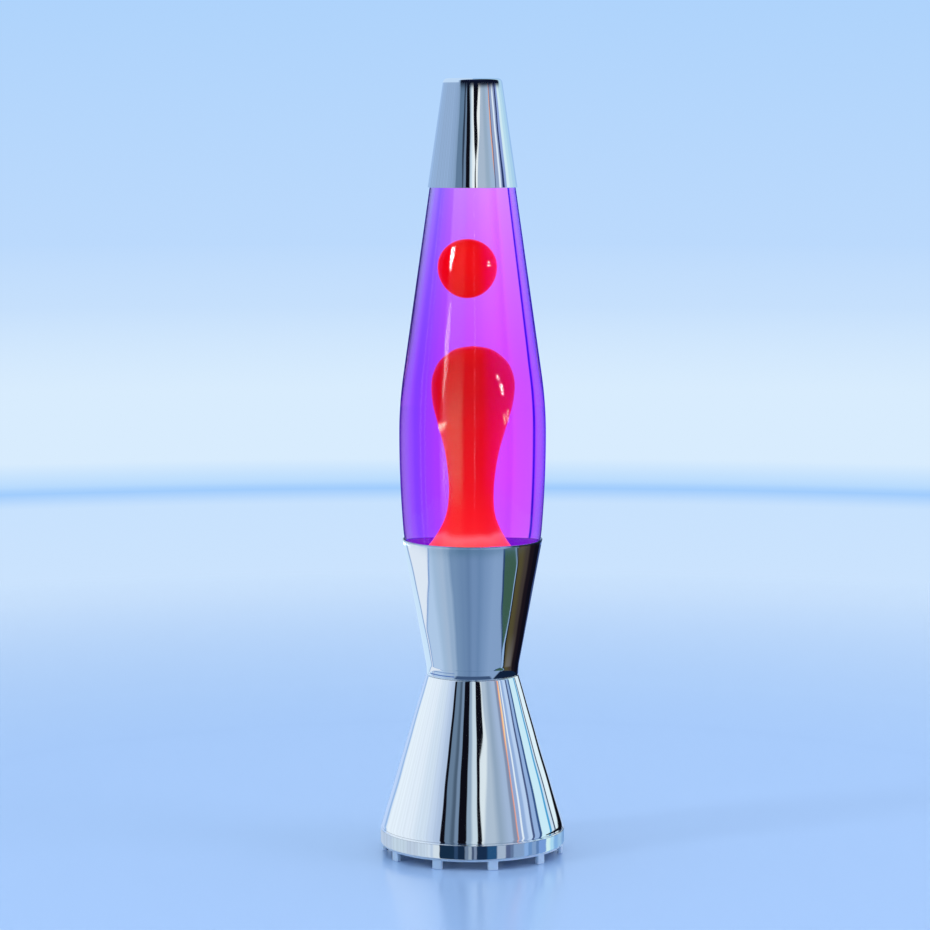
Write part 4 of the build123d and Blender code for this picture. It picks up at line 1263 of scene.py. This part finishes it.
FLOOR_RADIUS = 8.0
FLOOR_FAR = as_light([
    (0.0, (184, 215, 253)),
    (0.05, (188, 218, 253)),
    (0.11, (203, 227, 254)),
    (0.185, (200, 226, 254)),
    (0.2, (158, 203, 253)),
    (0.208, (186, 220, 254)),
    (0.235, (216, 236, 254)),
    (0.35, (216, 236, 254)),
    (0.6, (198, 224, 253)),
    (1.0, (188, 218, 253)),
])
SKY = [(0.0, srgb(188, 218, 253)), (0.15, srgb(174, 211, 252)), (1.0, srgb(203, 230, 254))]


def pale_floor():
    """Satin floor near the lamp, which fades into the backdrop's own tone far away."""
    s = Shader("pale_floor", Base_Color=(0.32, 0.455, 0.69, 1), Roughness=0.2, IOR=1.5)
    split = s.nodes.new("ShaderNodeVectorMath")
    split.operation = "LENGTH"
    s.link(s.place, split.inputs[0])
    far = s.range(split.outputs["Value"], 0.0, 1.0, 0.35, 1.0)
    light = s.nodes.new("ShaderNodeEmission")
    distance = s.math("DIVIDE", split.outputs["Value"], FLOOR_RADIUS)
    s.link(s.ramp(distance, FLOOR_FAR), light.inputs["Color"])
    mix = s.nodes.new("ShaderNodeMixShader")
    s.link(far, mix.inputs[0])
    s.link(s.bsdf.outputs[0], mix.inputs[1])
    s.link(light.outputs[0], mix.inputs[2])
    s.link(mix.outputs[0], s.output.inputs["Surface"])
    return s.material


def disc_floor():
    steps = 96
    vertices = [(0, 0, 0)]
    for k in range(steps):
        a = 2 * pi * k / steps
        vertices.append((FLOOR_RADIUS * cos(a), FLOOR_RADIUS * sin(a), 0))
    faces = [(0, 1 + k, 1 + (k + 1) % steps) for k in range(steps)]
    return new_mesh("floor", vertices, faces, 0)


floor = disc_floor()
floor.data.materials.append(pale_floor())
floor.visible_glossy = False


def pale_world():
    world = bpy.data.worlds.new("pale_room")
    bpy.context.scene.world = world
    world.use_nodes = True
    nodes, links = world.node_tree.nodes, world.node_tree.links
    background = nodes["Background"]
    up = nodes.new("ShaderNodeSeparateXYZ")
    links.new(nodes.new("ShaderNodeTexCoord").outputs["Generated"], up.inputs[0])
    height = nodes.new("ShaderNodeMapRange")
    height.inputs["From Min"].default_value = -0.04
    height.inputs["From Max"].default_value = 0.5
    links.new(up.outputs["Z"], height.inputs["Value"])
    ramp = nodes.new("ShaderNodeValToRGB")
    fill_ramp(ramp.color_ramp, SKY)
    links.new(height.outputs["Result"], ramp.inputs["Fac"])
    links.new(ramp.outputs["Color"], background.inputs["Color"])
    background.inputs["Strength"].default_value = 1.0
    world.cycles_visibility.glossy = False


def soft_light(name, place, target, width, height, power, colour=(1, 1, 1)):
    light = bpy.data.lights.new(name, "AREA")
    light.shape = "RECTANGLE"
    light.size, light.size_y = width, height
    light.energy = power
    light.color = colour
    lamp = bpy.data.objects.new(name, light)
    lamp.location = place
    lamp.rotation_euler = (Vector(target) - Vector(place)).to_track_quat("-Z", "Y").to_euler()
    lamp.visible_glossy = False
    lamp.visible_transmission = False
    bpy.context.scene.collection.objects.link(lamp)


pale_world()
soft_light("overhead", (0.1, 0.2, 1.9), (0, 0, 0), 2.2, 2.2, 14.0, (0.95, 0.98, 1))
soft_light("left_strip", (-1.0, -0.55, 0.75), (0, 0, 0.27), 0.09, 0.9, 5.0)
soft_light("right_fill", (1.4, -0.5, 0.6), (0, 0, 0.2), 0.8, 1.0, 8.0, (1, 0.9, 1))

scene = bpy.context.scene
scene.view_settings.view_transform = "Standard"
scene.view_settings.look = "None"
scene.cycles.use_denoising = True
scene.cycles.max_bounces = 20
scene.cycles.transmission_bounces = 16
scene.cycles.glossy_bounces = 8
